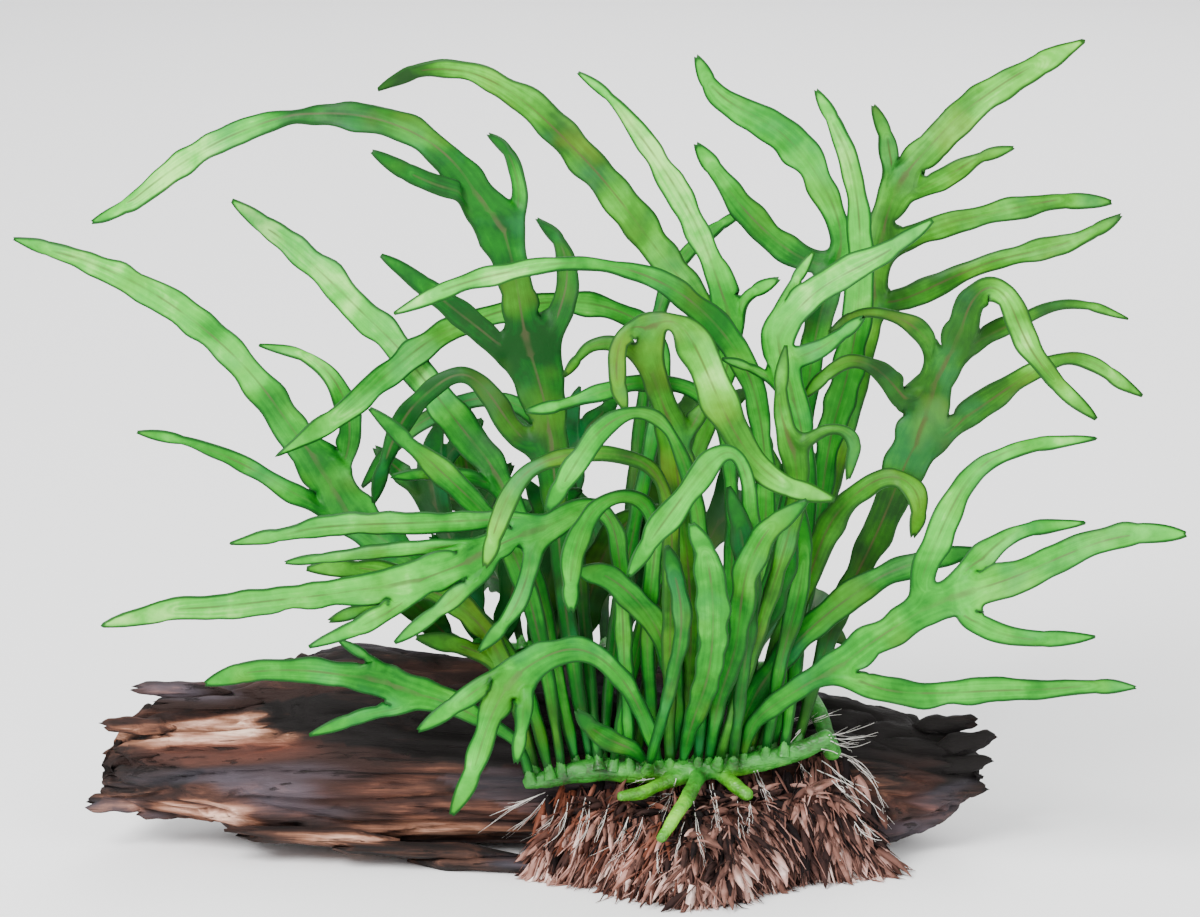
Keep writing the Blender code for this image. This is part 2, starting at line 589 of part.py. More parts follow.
def drooping_fronds():
    """The fronds that fan out over the log's left half, and those that droop in front."""
    top = [(-17, 81, 1.8), (-28, 80.7, 2.3), (-45, 79.8, 2.8), (-60, 79.5, 2.9), (-71, 78.8, 2.6),
           (-80, 77, 1.7), (-92.3, 74.5)]
    second = [(-33, 74, 1.8), (-45, 73.5, 2.0), (-58, 72.4, 1.8), (-70, 71, 1.3), (-78.2, 69.9)]
    fourth = [(-47, 61.5, 2.4), (-53, 57.5, 2.6), (-60, 54, 2.0), (-72.5, 48.8)]
    fifth = [(-29, 67.3, 2.2), (-33.5, 63.3, 2.4), (-40, 58, 2.1), (-51, 50)]
    sixth = [(-17.2, 73, 2.2), (-17.6, 68, 2.6), (-20, 60.5, 2.2), (-23.5, 54.5, 1.8), (-30, 48)]
    frond("frond_wide_left", PALE_LEAF, (7.5, FRONT_ROW),
          [(6.4, 40, 1.4), (5.6, 62, 1.5), (4.5, 78, 1.9), (0, 84.8, 2.3), (-6, 82.5, 2.6), (-13, 79, 2.9),
           (-20, 76.7, 3.2), (-27, 73.6, 3.6), (-34, 69.6, 4.1), (-44, 66, 4.2), (-54, 64.2, 3.6),
           (-68, 61.8, 3.6), (-82, 60.5, 3.2), (-98, 58.5, 2.1), (-107, 58.5, 1.9), (-124, 54)],
          (-30, -52), (10, 30),
          [(6, top, 14, (0, 30), ()), (6, sixth, -5, (-20, 0), ()), (8, fifth, -5, (-10, 20), ()),
           (9, second, 7, (0, 20), ()), (10, fourth, -7, (0, 30), ())])

    lowest = [(-54, 61, 1.2), (-60, 58, 1.4), (-67, 55.5)]
    small = [(-28, 46.5, 1.8), (-36, 49.5, 2.4), (-45, 51)]
    frond("frond_under_left", OLIVE_LEAF, (-16.2, BACK_ROW),
          [(-20.5, 32, 1.3), (-22.5, 41, 1.7), (-26.5, 50, 2.2), (-32, 57, 2.2), (-42, 63.5, 2.0),
           (-52, 67.3, 1.9), (-62, 69, 1.9), (-72.8, 68.3)],
          (-13, -15), (10, 20), [(2, small, -6, (-20, 0), ()), (5, lowest, -6, (0, 10), ())])

    low_left = [(-24.5, 41.5, 2.6), (-30, 38.8, 2.5), (-36, 34.2, 2.1), (-45, 28.2)]
    low_right = [(-18.8, 38, 2.0), (-19.2, 33, 2.1), (-19.8, 27.5, 1.8), (-20.8, 21)]
    frond("frond_front_drooping", PALE_LEAF, (14.6, FRONT_ROW),
          [(12.4, 28, 1.5), (9.3, 35, 1.8), (5.5, 41.3, 1.9), (0, 46.6, 1.9), (-6.5, 49, 2.5),
           (-13.5, 46.8, 3.7), (-19.5, 43, 4.8), (-24, 38, 4.4), (-27.3, 31.5, 2.9), (-29.5, 25, 3.1),
           (-31.4, 18, 2.8), (-36.7, 7.6)],
          (-34, -41), (10, -10), [(7, low_left, -5, (-10, 10), ()), (7, low_right, -5, (0, 20), ())])

    upper = [(-53, 42.5, 1.4), (-57.5, 46, 1.3), (-64.2, 49.8)]
    lower = [(-47, 34, 1.8), (-55, 32.6, 2.0), (-62, 31, 1.6), (-72, 27)]
    frond("frond_along_log", PALE_LEAF, (-17.8, FRONT_ROW),
          [(-19.8, 24.3, 1.2), (-24, 27.5, 1.3), (-30, 31, 1.8), (-37, 34.5, 3.0), (-44.5, 37, 4.0),
           (-52, 39.5, 4.0), (-60, 41, 3.3), (-70, 42.8, 2.8), (-80, 43.2, 2.4), (-90, 42.4, 1.9),
           (-98, 39.8)],
          (-27, -23), (5, 15), [(6, upper, 2, (0, 0), ()), (5, lower, -4, (0, 10), ())])

    frond("frond_front_short", DARK_LEAF, (10.9, FRONT_ROW),
          [(8.4, 23.6, 1.5), (4.4, 24.6, 2.4), (0.5, 26.6, 2.8), (-2.5, 29, 1.7), (-5.5, 32.5)],
          (-27, -31), (5, 10))


def central_fronds():
    """The fronds that rise from the middle of the rhizome, most of them arching over."""
    droop_left = [(7, 128.6, 1.8), (4.8, 125, 2.2), (3.9, 119.5, 2.4), (4.2, 114.5, 1.9), (6, 109)]
    dark_left = [(8.5, 123, 1.5), (2.5, 125.2, 1.9), (-2.5, 124.3, 1.7), (-5.5, 121.2, 1.2), (-8.2, 117.3)]
    right = [(21.3, 101, 2.0), (24, 105.5, 2.4), (26, 109, 1.4), (27.5, 112.5)]
    frond("frond_central_olive", OLIVE_LEAF, (21.0, BACK_ROW),
          [(22.6, 40, 1.4), (22.8, 58, 1.6), (22, 70, 2.2), (21, 80, 3.0), (19.4, 90, 3.8), (18.8, 98, 3.9),
           (16.5, 107, 3.1), (13.5, 116, 3.2), (12.6, 124, 3.2), (14.5, 130.5, 2.6), (20, 130.3, 3.3),
           (23.8, 124, 4.3), (26.5, 118, 4.2), (29.3, 111.5, 4.0), (32.2, 105, 3.6), (36, 98.3, 3.4),
           (41, 92.8, 3.1), (47, 88.5, 2.5), (57.3, 86)],
          (-26, -44), (0, 10),
          [(6, right, 6, (10, 20), ()), (8, dark_left, 5, (0, 20), ()), (9, droop_left, -6, (-10, 10), ())])

    frond("frond_hanging_lobe", OLIVE_LEAF, (17.4, FRONT_ROW),
          [(17.3, 38, 1.2), (17.5, 58, 1.4), (18.2, 76, 1.6), (16.8, 88, 1.7), (11.5, 95.6, 1.8),
           (2, 97.3, 2.0), (-8, 97, 1.8), (-17, 94, 2.0), (-22, 88.5, 2.0), (-25, 82, 1.9),
           (-26.7, 76, 1.6), (-28.6, 70)],
          (-33, -42), (0, -20))

    frond("frond_narrow_arch", DARK_LEAF, (24.6, FRONT_ROW),
          [(26.2, 42, 1.2), (26.6, 64, 1.3), (24.5, 84, 1.5), (20.5, 97, 1.8), (16.5, 105, 1.8),
           (9.3, 108.3, 1.7), (2.8, 105.6, 2.3), (-2, 101, 2.6), (-6, 95, 2.5), (-9.5, 89, 2.2),
           (-12.8, 83.5)],
          (-36, -52), (0, 10))

    frond("frond_small_arch", PALE_LEAF, (13.8, BACK_ROW),
          [(12.8, 34, 1.2), (11.4, 50, 1.3), (13, 66, 1.4), (14.5, 78, 1.6), (11.8, 85.6, 1.7),
           (5, 87.3, 1.7), (-1, 84.4, 2.0), (-5, 78, 2.4), (-7, 70, 2.3), (-7.6, 64, 1.5), (-7.3, 59)],
          (-24, -41), (0, 20))

    frond("frond_level", DARK_LEAF, (28.2, BACK_ROW),
          [(31, 45, 1.2), (33.5, 70, 1.3), (33, 95, 1.6), (29, 109.5, 1.8), (21, 114.8, 1.7),
           (10, 115, 2.1), (3, 113.5, 2.2), (-4, 110.8, 1.8), (-10, 109, 1.3), (-17, 108)],
          (-19, -28), (20, -15))

    frond("frond_straight_pale", PALE_LEAF, (31.8, FRONT_ROW),
          [(35.5, 45, 1.2), (38.5, 70, 1.4), (37.8, 90, 1.7), (33.5, 99, 2.2), (28.5, 96.2, 2.5),
           (23, 89.5, 2.6), (17, 81.5, 2.5), (12, 74.5, 2.2), (7.3, 67.2)],
          (-40, -60), (0, 15))

    frond("frond_top_arch", DARK_LEAF, (35.4, BACK_ROW),
          [(39, 50, 1.3), (41.8, 78, 1.6), (41.5, 100, 2.4), (38, 116.5, 3.2), (33, 124.5, 3.5),
           (29, 129.5, 3.4), (23, 135.5, 3.2), (15, 140.3, 2.6), (7, 143.3, 2.0), (-3, 144.8, 1.4),
           (-12, 144.5, 2.0), (-22, 142.7, 2.5), (-32, 140.5, 2.4), (-41, 137, 1.8), (-51, 132.3)],
          (-16, -26), (20, -20))

    frond("frond_top_olive", OLIVE_LEAF, (9.0, BACK_ROW),
          [(12.5, 45, 1.3), (18.5, 75, 1.5), (25, 103, 2.0), (28.5, 120, 2.8), (26.5, 132, 3.5),
           (20, 141, 3.6), (13.5, 149, 3.9), (7, 158, 4.2), (-1, 168, 4.1), (-8, 175, 3.8),
           (-18, 185, 3.6), (-28, 191.3, 2.8), (-37, 193.8, 2.0), (-46, 193.3, 1.9), (-55, 188.3)],
          (4, 30), (-25, 30))

    behind = [(19.5, 146.5, 2.0), (25, 150.5, 2.0), (30, 154.3, 1.6), (35.8, 158)]
    side = [(34.6, 134, 1.7), (38, 137.6, 1.4), (44, 140.5)]
    frond("frond_top_pale", PALE_LEAF, (3.6, FRONT_ROW),
          [(8, 45, 1.3), (16, 75, 1.5), (25, 100, 1.9), (31.5, 116, 2.4), (33.2, 126, 2.8),
           (31.3, 134.5, 2.9), (27.8, 145.5, 3.1), (24, 155, 3.3), (18, 165.4, 3.3), (12, 174, 2.7),
           (8, 179.5, 1.8), (3, 186.5, 1.4), (-4.8, 192)],
          (-4, 12), (-30, 20), [(5, side, -7, (0, 20), ())])

    frond("frond_behind_top", DARK_LEAF, (5.6, BACK_ROW),
          [(6, 50, 1.2), (8, 85, 1.4), (11, 115, 1.6), (14.5, 133, 1.8), (19, 144.5, 2.0),
           (25, 150.5, 2.0), (30, 154.3, 1.6), (35.8, 158)],
          (24, 44), (-20, 30))

    frond("frond_central_pale", PALE_LEAF, (20.8, FRONT_ROW),
          [(22.2, 28, 1.7), (24.8, 34.5, 2.4), (27.2, 41.5, 3.0), (28.2, 50, 3.6), (28.4, 58, 3.7),
           (27.8, 66, 3.4), (26.3, 73, 2.3), (23.4, 79)],
          (-46, -58), (-5, 10))

    frond("frond_leaning_pale", PALE_LEAF, (17.6, BACK_ROW),
          [(19.2, 27, 1.2), (19.6, 34, 1.3), (18.8, 41, 1.5), (16.5, 49, 2.1), (12.5, 57, 2.7), (6, 64, 3.0),
           (0, 67.5, 2.5), (-5, 68.3)],
          (-22, -30), (0, 20))

    frond("frond_leaning_dark", DARK_LEAF, (27.4, FRONT_ROW),
          [(29.2, 34, 1.6), (31.5, 41, 1.7), (34, 48, 1.9), (35, 57, 2.8), (36, 66, 3.4), (38.5, 73, 3.0),
           (43, 79.5, 2.0), (50.6, 84.9)],
          (-39, -50), (0, 20))

    frond("frond_edged_dark", DARK_LEAF, (24.4, BACK_ROW),
          [(29, 34, 1.2), (35, 43.5, 1.7), (40, 53.5, 2.3), (43, 61, 2.6), (45.5, 69, 2.7), (47, 76, 1.6),
           (48.4, 81.3)],
          (-25, -31), (0, 20))

    frond("frond_shadow_lobe", DARK_LEAF, (12.4, FRONT_ROW - 3.0),
          [(17, 36, 1.1), (20.5, 50, 1.3), (20.5, 60, 1.5), (18.5, 68, 1.3), (17, 73)],
          (-43, -50), (0, 10))


def right_fronds():
    """The fronds that rise and fan out to the right."""
    second = [(55.8, 144, 3.2), (49, 146.4, 3.5), (42.5, 151.5, 3.8), (37, 157, 3.3), (32.5, 162.5, 3.0),
              (28.5, 168.5, 2.6), (24.6, 174)]
    frond("frond_upper_middle", DARK_LEAF, (31.6, BACK_ROW),
          [(40, 55, 1.3), (48, 88, 1.7), (51.8, 112, 2.4), (53.8, 128, 3.9), (57.5, 140.5, 3.2),
           (61.3, 149, 2.3), (58.8, 159, 2.9), (54, 167.5, 3.8), (49.5, 173.5, 4.2), (44, 178.7, 3.8),
           (37, 182.4, 3.9), (31, 185.7, 3.2), (27.3, 189.7, 2.2), (24.6, 195.7)],
          (14, 30), (-25, 20), [(5, second, 9, (-10, 20), ())])

    first = [(73.7, 167, 2.6), (72.5, 171.5, 2.6), (71.6, 177, 2.1), (69, 183)]
    third = [(79.4, 162.8, 2.7), (84, 164.9, 2.9), (89.5, 168, 2.5), (95, 171.7, 1.7), (102.8, 173.5)]
    fourth = [(75, 150.6, 3.0), (80, 152, 3.2), (88, 155.4, 2.9), (96, 156.5, 2.5), (106, 159.2, 2.9),
              (116, 160.8, 2.2), (126.8, 160.1)]
    fifth = [(71.5, 134.6, 2.8), (77, 136, 3.0), (84, 139.3, 2.9), (92, 143, 2.1), (99, 145.6, 2.4),
             (107, 147.3, 3.0), (117, 149.6, 2.4), (124, 152.6, 1.7), (129.6, 156.5)]
    frond("frond_upper_right", OLIVE_LEAF, (40.4, BACK_ROW),
          [(50, 60, 1.3), (60, 95, 1.7), (66.3, 122, 2.4), (67.4, 130, 2.8), (68.4, 138, 3.0),
           (69.2, 145.5, 3.2), (70.6, 153.5, 3.6), (73.5, 162, 4.3), (77, 168, 4.0), (82.5, 174, 3.5),
           (90, 182, 4.3), (96, 186.3, 3.8), (102, 190.5, 3.5), (109, 194.5, 3.4), (120.6, 200.4)],
          (18, 38), (-20, 25),
          [(4, fifth, -9, (-20, 20), ()), (6, fourth, 4, (-10, 25), ()), (8, third, -4, (-20, 10), ()),
           (8, first, -5, (10, -20), ())])

    upper = [(45.8, 133, 2.4), (48.3, 140, 1.8), (53, 147)]
    lower = [(50, 121.3, 2.4), (55.5, 123.4, 2.3), (61, 127.2, 1.6), (65.2, 130.6)]
    small = [(43.6, 115.8, 1.3), (37.5, 118.8, 1.2), (30.5, 121)]
    frond("frond_pale_right", PALE_LEAF, (46.2, FRONT_ROW),
          [(49.5, 50, 1.3), (51.8, 75, 1.6), (51.6, 98, 2.6), (49, 110, 3.0), (46.6, 117.5, 3.5),
           (43.8, 125.5, 3.9), (48, 131.5, 3.7), (53, 137, 3.6), (60, 141.5, 3.6), (67, 144.8, 3.2),
           (74, 148.8, 2.4), (82.6, 155.2)],
          (-13.5, -15), (10, 25),
          [(4, lower, -5, (0, 20), ()), (6, upper, 4, (-10, 10), ()), (3, small, -14, (0, 20), ())])

    frond("frond_upright_pale", PALE_LEAF, (43.2, BACK_ROW),
          [(49, 50, 1.3), (54, 75, 1.6), (56, 92, 2.1), (58.3, 105, 3.6), (61, 113, 4.0), (63, 122, 4.0),
           (64.5, 131, 3.5), (65.1, 143, 3.1), (65.1, 155, 2.8), (63.5, 167, 2.5), (61, 174.5, 2.2),
           (58, 181, 1.7), (54.6, 187.3)],
          (2, 10), (-25, 30))

    first = [(76.8, 109.8, 3.3), (72.5, 115.7, 2.9), (67, 120, 2.0), (61.5, 120.8, 1.7), (56, 117, 1.8),
             (51.6, 112)]
    second = [(83.4, 123.2, 2.4), (80.8, 127, 2.7), (76, 130.8, 1.9), (69, 133, 1.2), (63, 132, 1.2),
              (58, 128)]
    fourth = [(91.5, 123, 2.4), (97, 127, 2.8), (104, 130, 2.1), (113, 134.6, 1.2), (122, 134.8, 1.2),
              (131.3, 131)]
    fifth = [(84.5, 100.5, 3.6), (91, 105.8, 3.7), (98, 110.8, 3.1), (106, 116.3, 2.5), (113, 120.6, 1.6),
             (120, 121.6, 1.6), (127, 117.5, 2.0), (134.7, 112)]
    frond("frond_right_olive", OLIVE_LEAF, (49.8, BACK_ROW),
          [(54, 42, 1.3), (59.5, 58, 2.0), (66, 70.5, 3.2), (71, 81, 3.9), (75, 91.5, 4.7), (78.4, 99, 5.8),
           (81.5, 107, 5.4), (84.5, 115.5, 3.6), (87.6, 122, 3.7), (90.5, 129.5, 3.9), (93, 136, 3.7),
           (97.5, 139.6, 2.6), (102, 136.5, 3.3), (104.5, 129.5, 3.6), (108, 122, 2.5), (114, 114.5, 2.2),
           (123.4, 106)],
          (-6, -24), (-15, 20),
          [(5, fifth, 13, (-20, 15), ()), (6, first, -4, (10, -10), ()), (8, second, -3, (10, -10), ()),
           (8, fourth, 14, (-20, 10), ())])

    first = [(80, 65.5, 3.0), (83.6, 74, 3.3), (87.5, 83, 3.2), (92, 91, 2.6), (98, 96.3, 2.1),
             (108, 99.6, 1.8), (123.4, 100.8)]
    second = [(91.6, 67.5, 3.0), (95.5, 71, 3.2), (100, 75.2, 2.6), (106, 78.8, 1.9), (120.8, 79.8)]
    fourth = [(90.4, 57.5, 3.0), (94, 54.8, 3.2), (100, 51.8, 2.7), (110, 50.2, 2.0), (123.9, 51.3)]
    fifth = [(62.5, 41.6, 3.2), (68, 38.9, 3.7), (75, 37.2, 3.5), (87, 37.2, 3.3), (99, 38, 3.0),
             (112, 38, 2.3), (124, 39.3, 1.7), (134, 38.6)]
    frond("frond_big_right", PALE_LEAF, (35.8, FRONT_ROW),
          [(37.8, 30, 1.7), (42.5, 33.8, 2.0), (48.5, 37.5, 2.3), (55, 41.6, 2.9), (61.5, 45.2, 4.0),
           (68, 50, 4.0), (74, 54, 4.0), (80, 57.5, 4.0), (87, 60.6, 4.0), (94.5, 63.3, 4.0),
           (102, 65.5, 3.7), (110, 69, 3.6), (118, 72.5, 3.6), (126, 75.5, 3.3), (134, 77, 2.4),
           (145.8, 77)],
          (-42, -56), (-10, 25),
          [(5, fifth, -4, (-10, 15), ()), (7, first, 8, (0, 25), ()), (9, second, 5, (0, 20), ()),
           (9, fourth, -4, (-10, 15), ())])

    frond("frond_right_behind", PALE_LEAF, (33.6, BACK_ROW),
          [(37, 34, 2.1), (42, 42, 2.9), (49, 50, 3.2), (56, 56.5, 3.2), (64, 62.4, 3.0), (72, 67.8, 2.4),
           (83, 71, 1.8), (94, 73)],
          (-25, -27), (0, 25))

    frond("frond_olive_hook", OLIVE_LEAF, (37.8, BACK_ROW),
          [(42, 44, 1.6), (47, 53, 1.7), (51, 62, 1.9), (54, 71.5, 2.3), (57.5, 80.5, 3.3),
           (63.5, 87, 2.7), (70, 91.4, 2.3), (75.5, 91.3, 1.9), (79.6, 87.5, 2.3), (80, 82.5, 1.9),
           (78.6, 77)],
          (-21, -34), (-10, 25))

    hook = [(51.6, 99.8, 1.6), (55.5, 103.2, 1.4), (60.5, 103.6, 1.6), (64.4, 100, 2.3), (62.3, 91.7)]
    frond("frond_small_hook", OLIVE_LEAF, (29.8, FRONT_ROW - 2.0),
          [(38, 48, 1.2), (46, 72, 1.5), (50, 88, 2.6), (48.6, 96.5, 3.3), (45.6, 104, 2.4), (44.6, 113, 1.6),
           (46.4, 123.5)],
          (-35, -28), (0, 10), [(4, hook, -4, (0, 15), ())])

    frond("frond_narrow_spear", DARK_LEAF, (41.5, FRONT_ROW),
          [(45.5, 47, 1.3), (49.5, 60, 1.6), (51.5, 72, 1.4), (51, 83)],
          (-26, -24), (0, 20))

    frond("frond_inner_dark", DARK_LEAF, (33.4, FRONT_ROW - 2.6),
          [(36, 44, 1.3), (37.5, 58, 1.9), (36.5, 70, 2.5), (34.8, 80, 2.3), (32, 88.5)],
          (-36, -43), (0, -20))


def rear_frond(name, material, foot_across, route, depths, rolls, fork, lobe_length, lobe_width):
    """A three-lobed frond that leans back from the rhizome's branch behind the log's crest."""
    left_angle, right_angle = REAR_LOBE_ANGLES
    right_length = lobe_length * SECOND_LOBE_SHARE
    lobes = [
        (fork, side_lobe(route, fork, left_angle, lobe_length, lobe_width), 5, (20, -20), ()),
        (fork + 1, side_lobe(route, fork + 1, right_angle, right_length, lobe_width), -4, (-20, 20), ()),
    ]
    return branch_frond(name, material, foot_across, route, depths, rolls, lobes)


def branch_frond(name, material, foot_across, route, depths, rolls, lobes=()):
    """A frond whose foot stands on the rhizome's branch behind the log's crest."""
    foot = as_seen(rear_stem_point(foot_across) + Vector((0.0, 0.0, RHIZOME_RADIUS + GAP)))
    work = bmesh.new()
    route = [(foot[0], foot[1], STALK_HALF_WIDTH)] + list(route)
    depths = (REAR_STEM_BACK,) + tuple(depths)
    centres, rings, tip = blade(work, route, depths, rolls)
    work.faces.new(reversed(rings[0]))
    grow_lobes(work, route, depths, centres, rings, tip, lobes)
    return mesh_object(name, work, material)


def side_lobe(route, fork, angle, length, half_width):
    """A lobe that leaves the route at this angle, left when positive, and bends back along it."""
    near = route[fork - 1]
    far = route[fork]
    heading = math.atan2(far[1] - near[1], far[0] - near[0])
    across = (near[0] + far[0]) / 2.0
    up = (near[1] + far[1]) / 2.0
    stations = []
    clear = max(near[2], far[2])
    for index, share in enumerate(LOBE_SHAPE):
        turn = heading + math.radians(angle) * (LOBE_FLARE - LOBE_BEND * index / len(LOBE_SHAPE))
        step = clear + LOBE_START if index == 0 else length / len(LOBE_SHAPE)
        across += math.cos(turn) * step
        up += math.sin(turn) * step
        stations.append((across, up, half_width * share))
    return stations


def rear_fronds():
    """The fronds behind the log's crest, which fill the fern's far side."""
    rear_frond("frond_rear_1", DARK_LEAF, -28.0,
               [(-32, 63, 1.4), (-37, 75, 2.2), (-41, 84, 4.0), (-42.5, 91, 4.2), (-42, 98, 3.0), (-39, 106)],
               (36, 54), (35, -20), 3, 16.0, 2.6)
    rear_frond("frond_rear_2", OLIVE_LEAF, -20.0,
               [(-22, 60, 1.4), (-25, 72, 2.4), (-27, 80, 4.2), (-30, 86, 4.4), (-35, 89, 3.4), (-43, 88)],
               (42, 82), (-20, 25), 3, 16.0, 2.8)
    rear_frond("frond_rear_3", DARK_LEAF, -9.0,
               [(-8.5, 62, 1.4), (-8, 78, 2.0), (-8, 90, 4.0), (-8.5, 97, 4.4), (-8, 104, 3.2), (-5, 113)],
               (38, 62), (30, -30), 3, 17.0, 2.8)
    rear_frond("frond_rear_4", PALE_LEAF, 1.0,
               [(1, 60, 1.4), (0, 71, 2.4), (-2, 79, 4.2), (-6, 84, 4.4), (-11, 85.5, 3.4), (-19, 83)],
               (50, 94), (-15, 30), 3, 17.0, 2.8)
    rear_frond("frond_rear_5", OLIVE_LEAF, 10.0,
               [(12, 64, 1.4), (15, 82, 2.0), (18, 95, 4.0), (20, 102, 4.4), (22.5, 109, 3.0), (27, 117)],
               (40, 60), (-35, 20), 3, 17.0, 2.8)
    rear_frond("frond_rear_6", DARK_LEAF, 19.0,
               [(21, 60, 1.4), (25, 71, 2.4), (29, 79, 4.2), (34, 83.5, 4.4), (39, 84.5, 3.4), (48, 81)],
               (48, 90), (15, -30), 3, 17.0, 2.8)
    rear_frond("frond_rear_7", PALE_LEAF, 29.0,
               [(33, 58, 1.4), (39, 71, 2.2), (45, 82, 4.0), (48, 89, 4.2), (50, 96, 3.0), (50.5, 105)],
               (36, 56), (-30, 25), 3, 16.0, 2.6)
    rear_frond("frond_rear_8", OLIVE_LEAF, 38.0,
               [(40, 50, 1.3), (43.5, 56, 2.2), (46.5, 60, 3.8), (50, 62, 4.0), (54, 61.5, 2.8), (60, 58)],
               (44, 76), (20, -20), 3, 14.0, 2.6)
    rear_frond("frond_rear_9", PALE_LEAF, -14.0,
               [(-15.5, 55, 1.3), (-19, 61, 2.2), (-23, 65, 3.8), (-28, 67, 4.0), (-33, 66.5, 2.8),
                (-40, 63)],
               (50, 92), (10, -20), 3, 14.0, 2.6)
    rear_frond("frond_rear_10", DARK_LEAF, 14.5,
               [(14, 54, 1.3), (13, 59, 2.2), (11, 63, 3.8), (8, 65.5, 4.0), (4, 66.5, 2.8), (-3, 65)],
               (56, 104), (-10, 20), 3, 14.0, 2.6)


def inner_fronds():
    """Broad undivided young fronds between the front and the rear rows, leaning forwards over the log."""
    branch_frond("frond_inner_1", DARK_LEAF, -31.0,
                 [(-32, 55, 3.2), (-33, 63, 4.4), (-33, 73, 4.6), (-31, 82, 3.8), (-27, 89, 2.6), (-22, 94)],
                 (12, 6), (0, 20))
    branch_frond("frond_inner_2", PALE_LEAF, -24.0,
                 [(-23.5, 55, 3.2), (-22, 63, 4.2), (-19.5, 73, 4.6), (-15.5, 81, 3.6), (-10, 86, 2.2),
                  (-5, 88)],
                 (12, 3), (10, -20))
    branch_frond("frond_inner_3", DARK_LEAF, -17.0,
                 [(-15.5, 55, 3.2), (-13.5, 62, 4.2), (-11.5, 70, 4.4), (-11.5, 77, 4.0), (-13.5, 84, 2.8),
                  (-18, 90)],
                 (9.5, -3), (-10, 20))
    branch_frond("frond_inner_4", OLIVE_LEAF, -4.5,
                 [(-4, 55, 3.2), (-2.5, 62, 4.2), (0.5, 72, 4.0), (4.5, 78, 3.6), (9, 82, 2.6), (14.5, 83.5)],
                 (12, 7), (10, -20))
    branch_frond("frond_inner_5", DARK_LEAF, 5.5,
                 [(6, 55, 3.0), (8, 62, 4.0), (10.5, 71, 3.8), (13, 78, 3.2), (14, 84, 2.2), (13, 90)],
                 (20, 19), (-10, 20))
    branch_frond("frond_inner_6", DARK_LEAF, 24.0,
                 [(24.5, 55, 3.2), (24.5, 63, 4.2), (23.5, 74, 4.4), (21, 81.5, 4.0), (17.5, 88, 2.6),
                  (14, 93)],
                 (14, 10), (10, -20))
    branch_frond("frond_inner_7", PALE_LEAF, 33.5,
                 [(35, 55, 3.2), (38, 63, 4.2), (42, 72, 4.2), (47, 78, 3.6), (53, 82, 2.4), (59, 83)],
                 (11, 2), (-10, 20))
    branch_frond("frond_inner_8", OLIVE_LEAF, -38.0,
                 [(-40, 53, 3.0), (-44, 58, 4.2), (-49, 62, 4.6), (-55, 64, 3.8), (-62, 64)],
                 (10, 0), (10, -20))
    branch_frond("frond_inner_9", DARK_LEAF, -11.5,
                 [(-9.5, 55, 3.0), (-8, 62, 4.0), (-6.5, 70, 4.2), (-7, 77, 3.6), (-10, 84, 2.4), (-14, 89)],
                 (17, 13), (-10, 20))
    branch_frond("frond_inner_10", DARK_LEAF, 16.8,
                 [(16, 55, 3.0), (17, 62, 4.2), (18.5, 70, 4.4), (19, 78, 3.4), (17.5, 86)],
                 (18, 12), (10, -20))


def root_mat():
    """The shaggy mass of roots from the rhizome's underside to the ground: a loft of tufted sections."""
    work = bmesh.new()
    first = ROOT_STATIONS[0][0]
    last = ROOT_STATIONS[-1][0]
    count = round((last - first) / ROOT_STEP)
    rings = []
    for index in range(count + 1):
        across = first + (last - first) * index / count
        top, reach = between(ROOT_STATIONS, across)
        tuft = 1.0 if index % 2 else SHORT_TUFT
        slump = TUFT_SLUMP * math.sin(across / TUFT_LENGTH)
        ring = []
        for forward, height in ROOT_PROFILE:
            y = ROOT_BACK - reach * forward * (1.0 if forward < TUFTED_FROM else tuft + slump)
            ring.append(work.verts.new(Vector((across, y, top * height))))
        rings.append(ring)
    sides = len(ROOT_PROFILE)
    for ring, onward in zip(rings, rings[1:]):
        for corner in range(sides):
            following = (corner + 1) % sides
            work.faces.new((ring[corner], ring[following], onward[following], onward[corner]))
    work.faces.new(rings[0])
    work.faces.new(rings[-1])
    return mesh_object("root_mat", work, ROOTS)


left_fronds()
drooping_fronds()
central_fronds()
right_fronds()
rear_fronds()
inner_fronds()
root_mat()
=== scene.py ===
"""The looks of a java fern on driftwood: lobed fronds, creeping rhizome, root mat and weathered log."""

import math
import random

import bmesh
import bpy
import numpy as np
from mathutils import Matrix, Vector, noise
from mathutils.bvhtree import BVHTree
from mathutils.kdtree import KDTree


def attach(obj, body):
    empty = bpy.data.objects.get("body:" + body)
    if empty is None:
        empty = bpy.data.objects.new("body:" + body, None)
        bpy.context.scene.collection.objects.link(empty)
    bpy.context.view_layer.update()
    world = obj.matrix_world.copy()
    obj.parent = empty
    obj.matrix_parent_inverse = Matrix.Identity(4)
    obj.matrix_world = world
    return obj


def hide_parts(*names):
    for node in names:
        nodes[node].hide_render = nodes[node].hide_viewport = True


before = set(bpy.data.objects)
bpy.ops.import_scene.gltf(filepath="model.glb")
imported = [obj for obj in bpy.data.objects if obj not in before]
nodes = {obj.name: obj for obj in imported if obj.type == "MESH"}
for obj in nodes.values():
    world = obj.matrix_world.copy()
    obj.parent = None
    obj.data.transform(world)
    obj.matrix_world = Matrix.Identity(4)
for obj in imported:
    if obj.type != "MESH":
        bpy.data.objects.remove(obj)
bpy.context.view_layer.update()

FRONDS = sorted(name for name in nodes if name.startswith("frond_"))

MM = 0.001
# CAD points closer than this are one point.
MERGE = 0.05 * MM

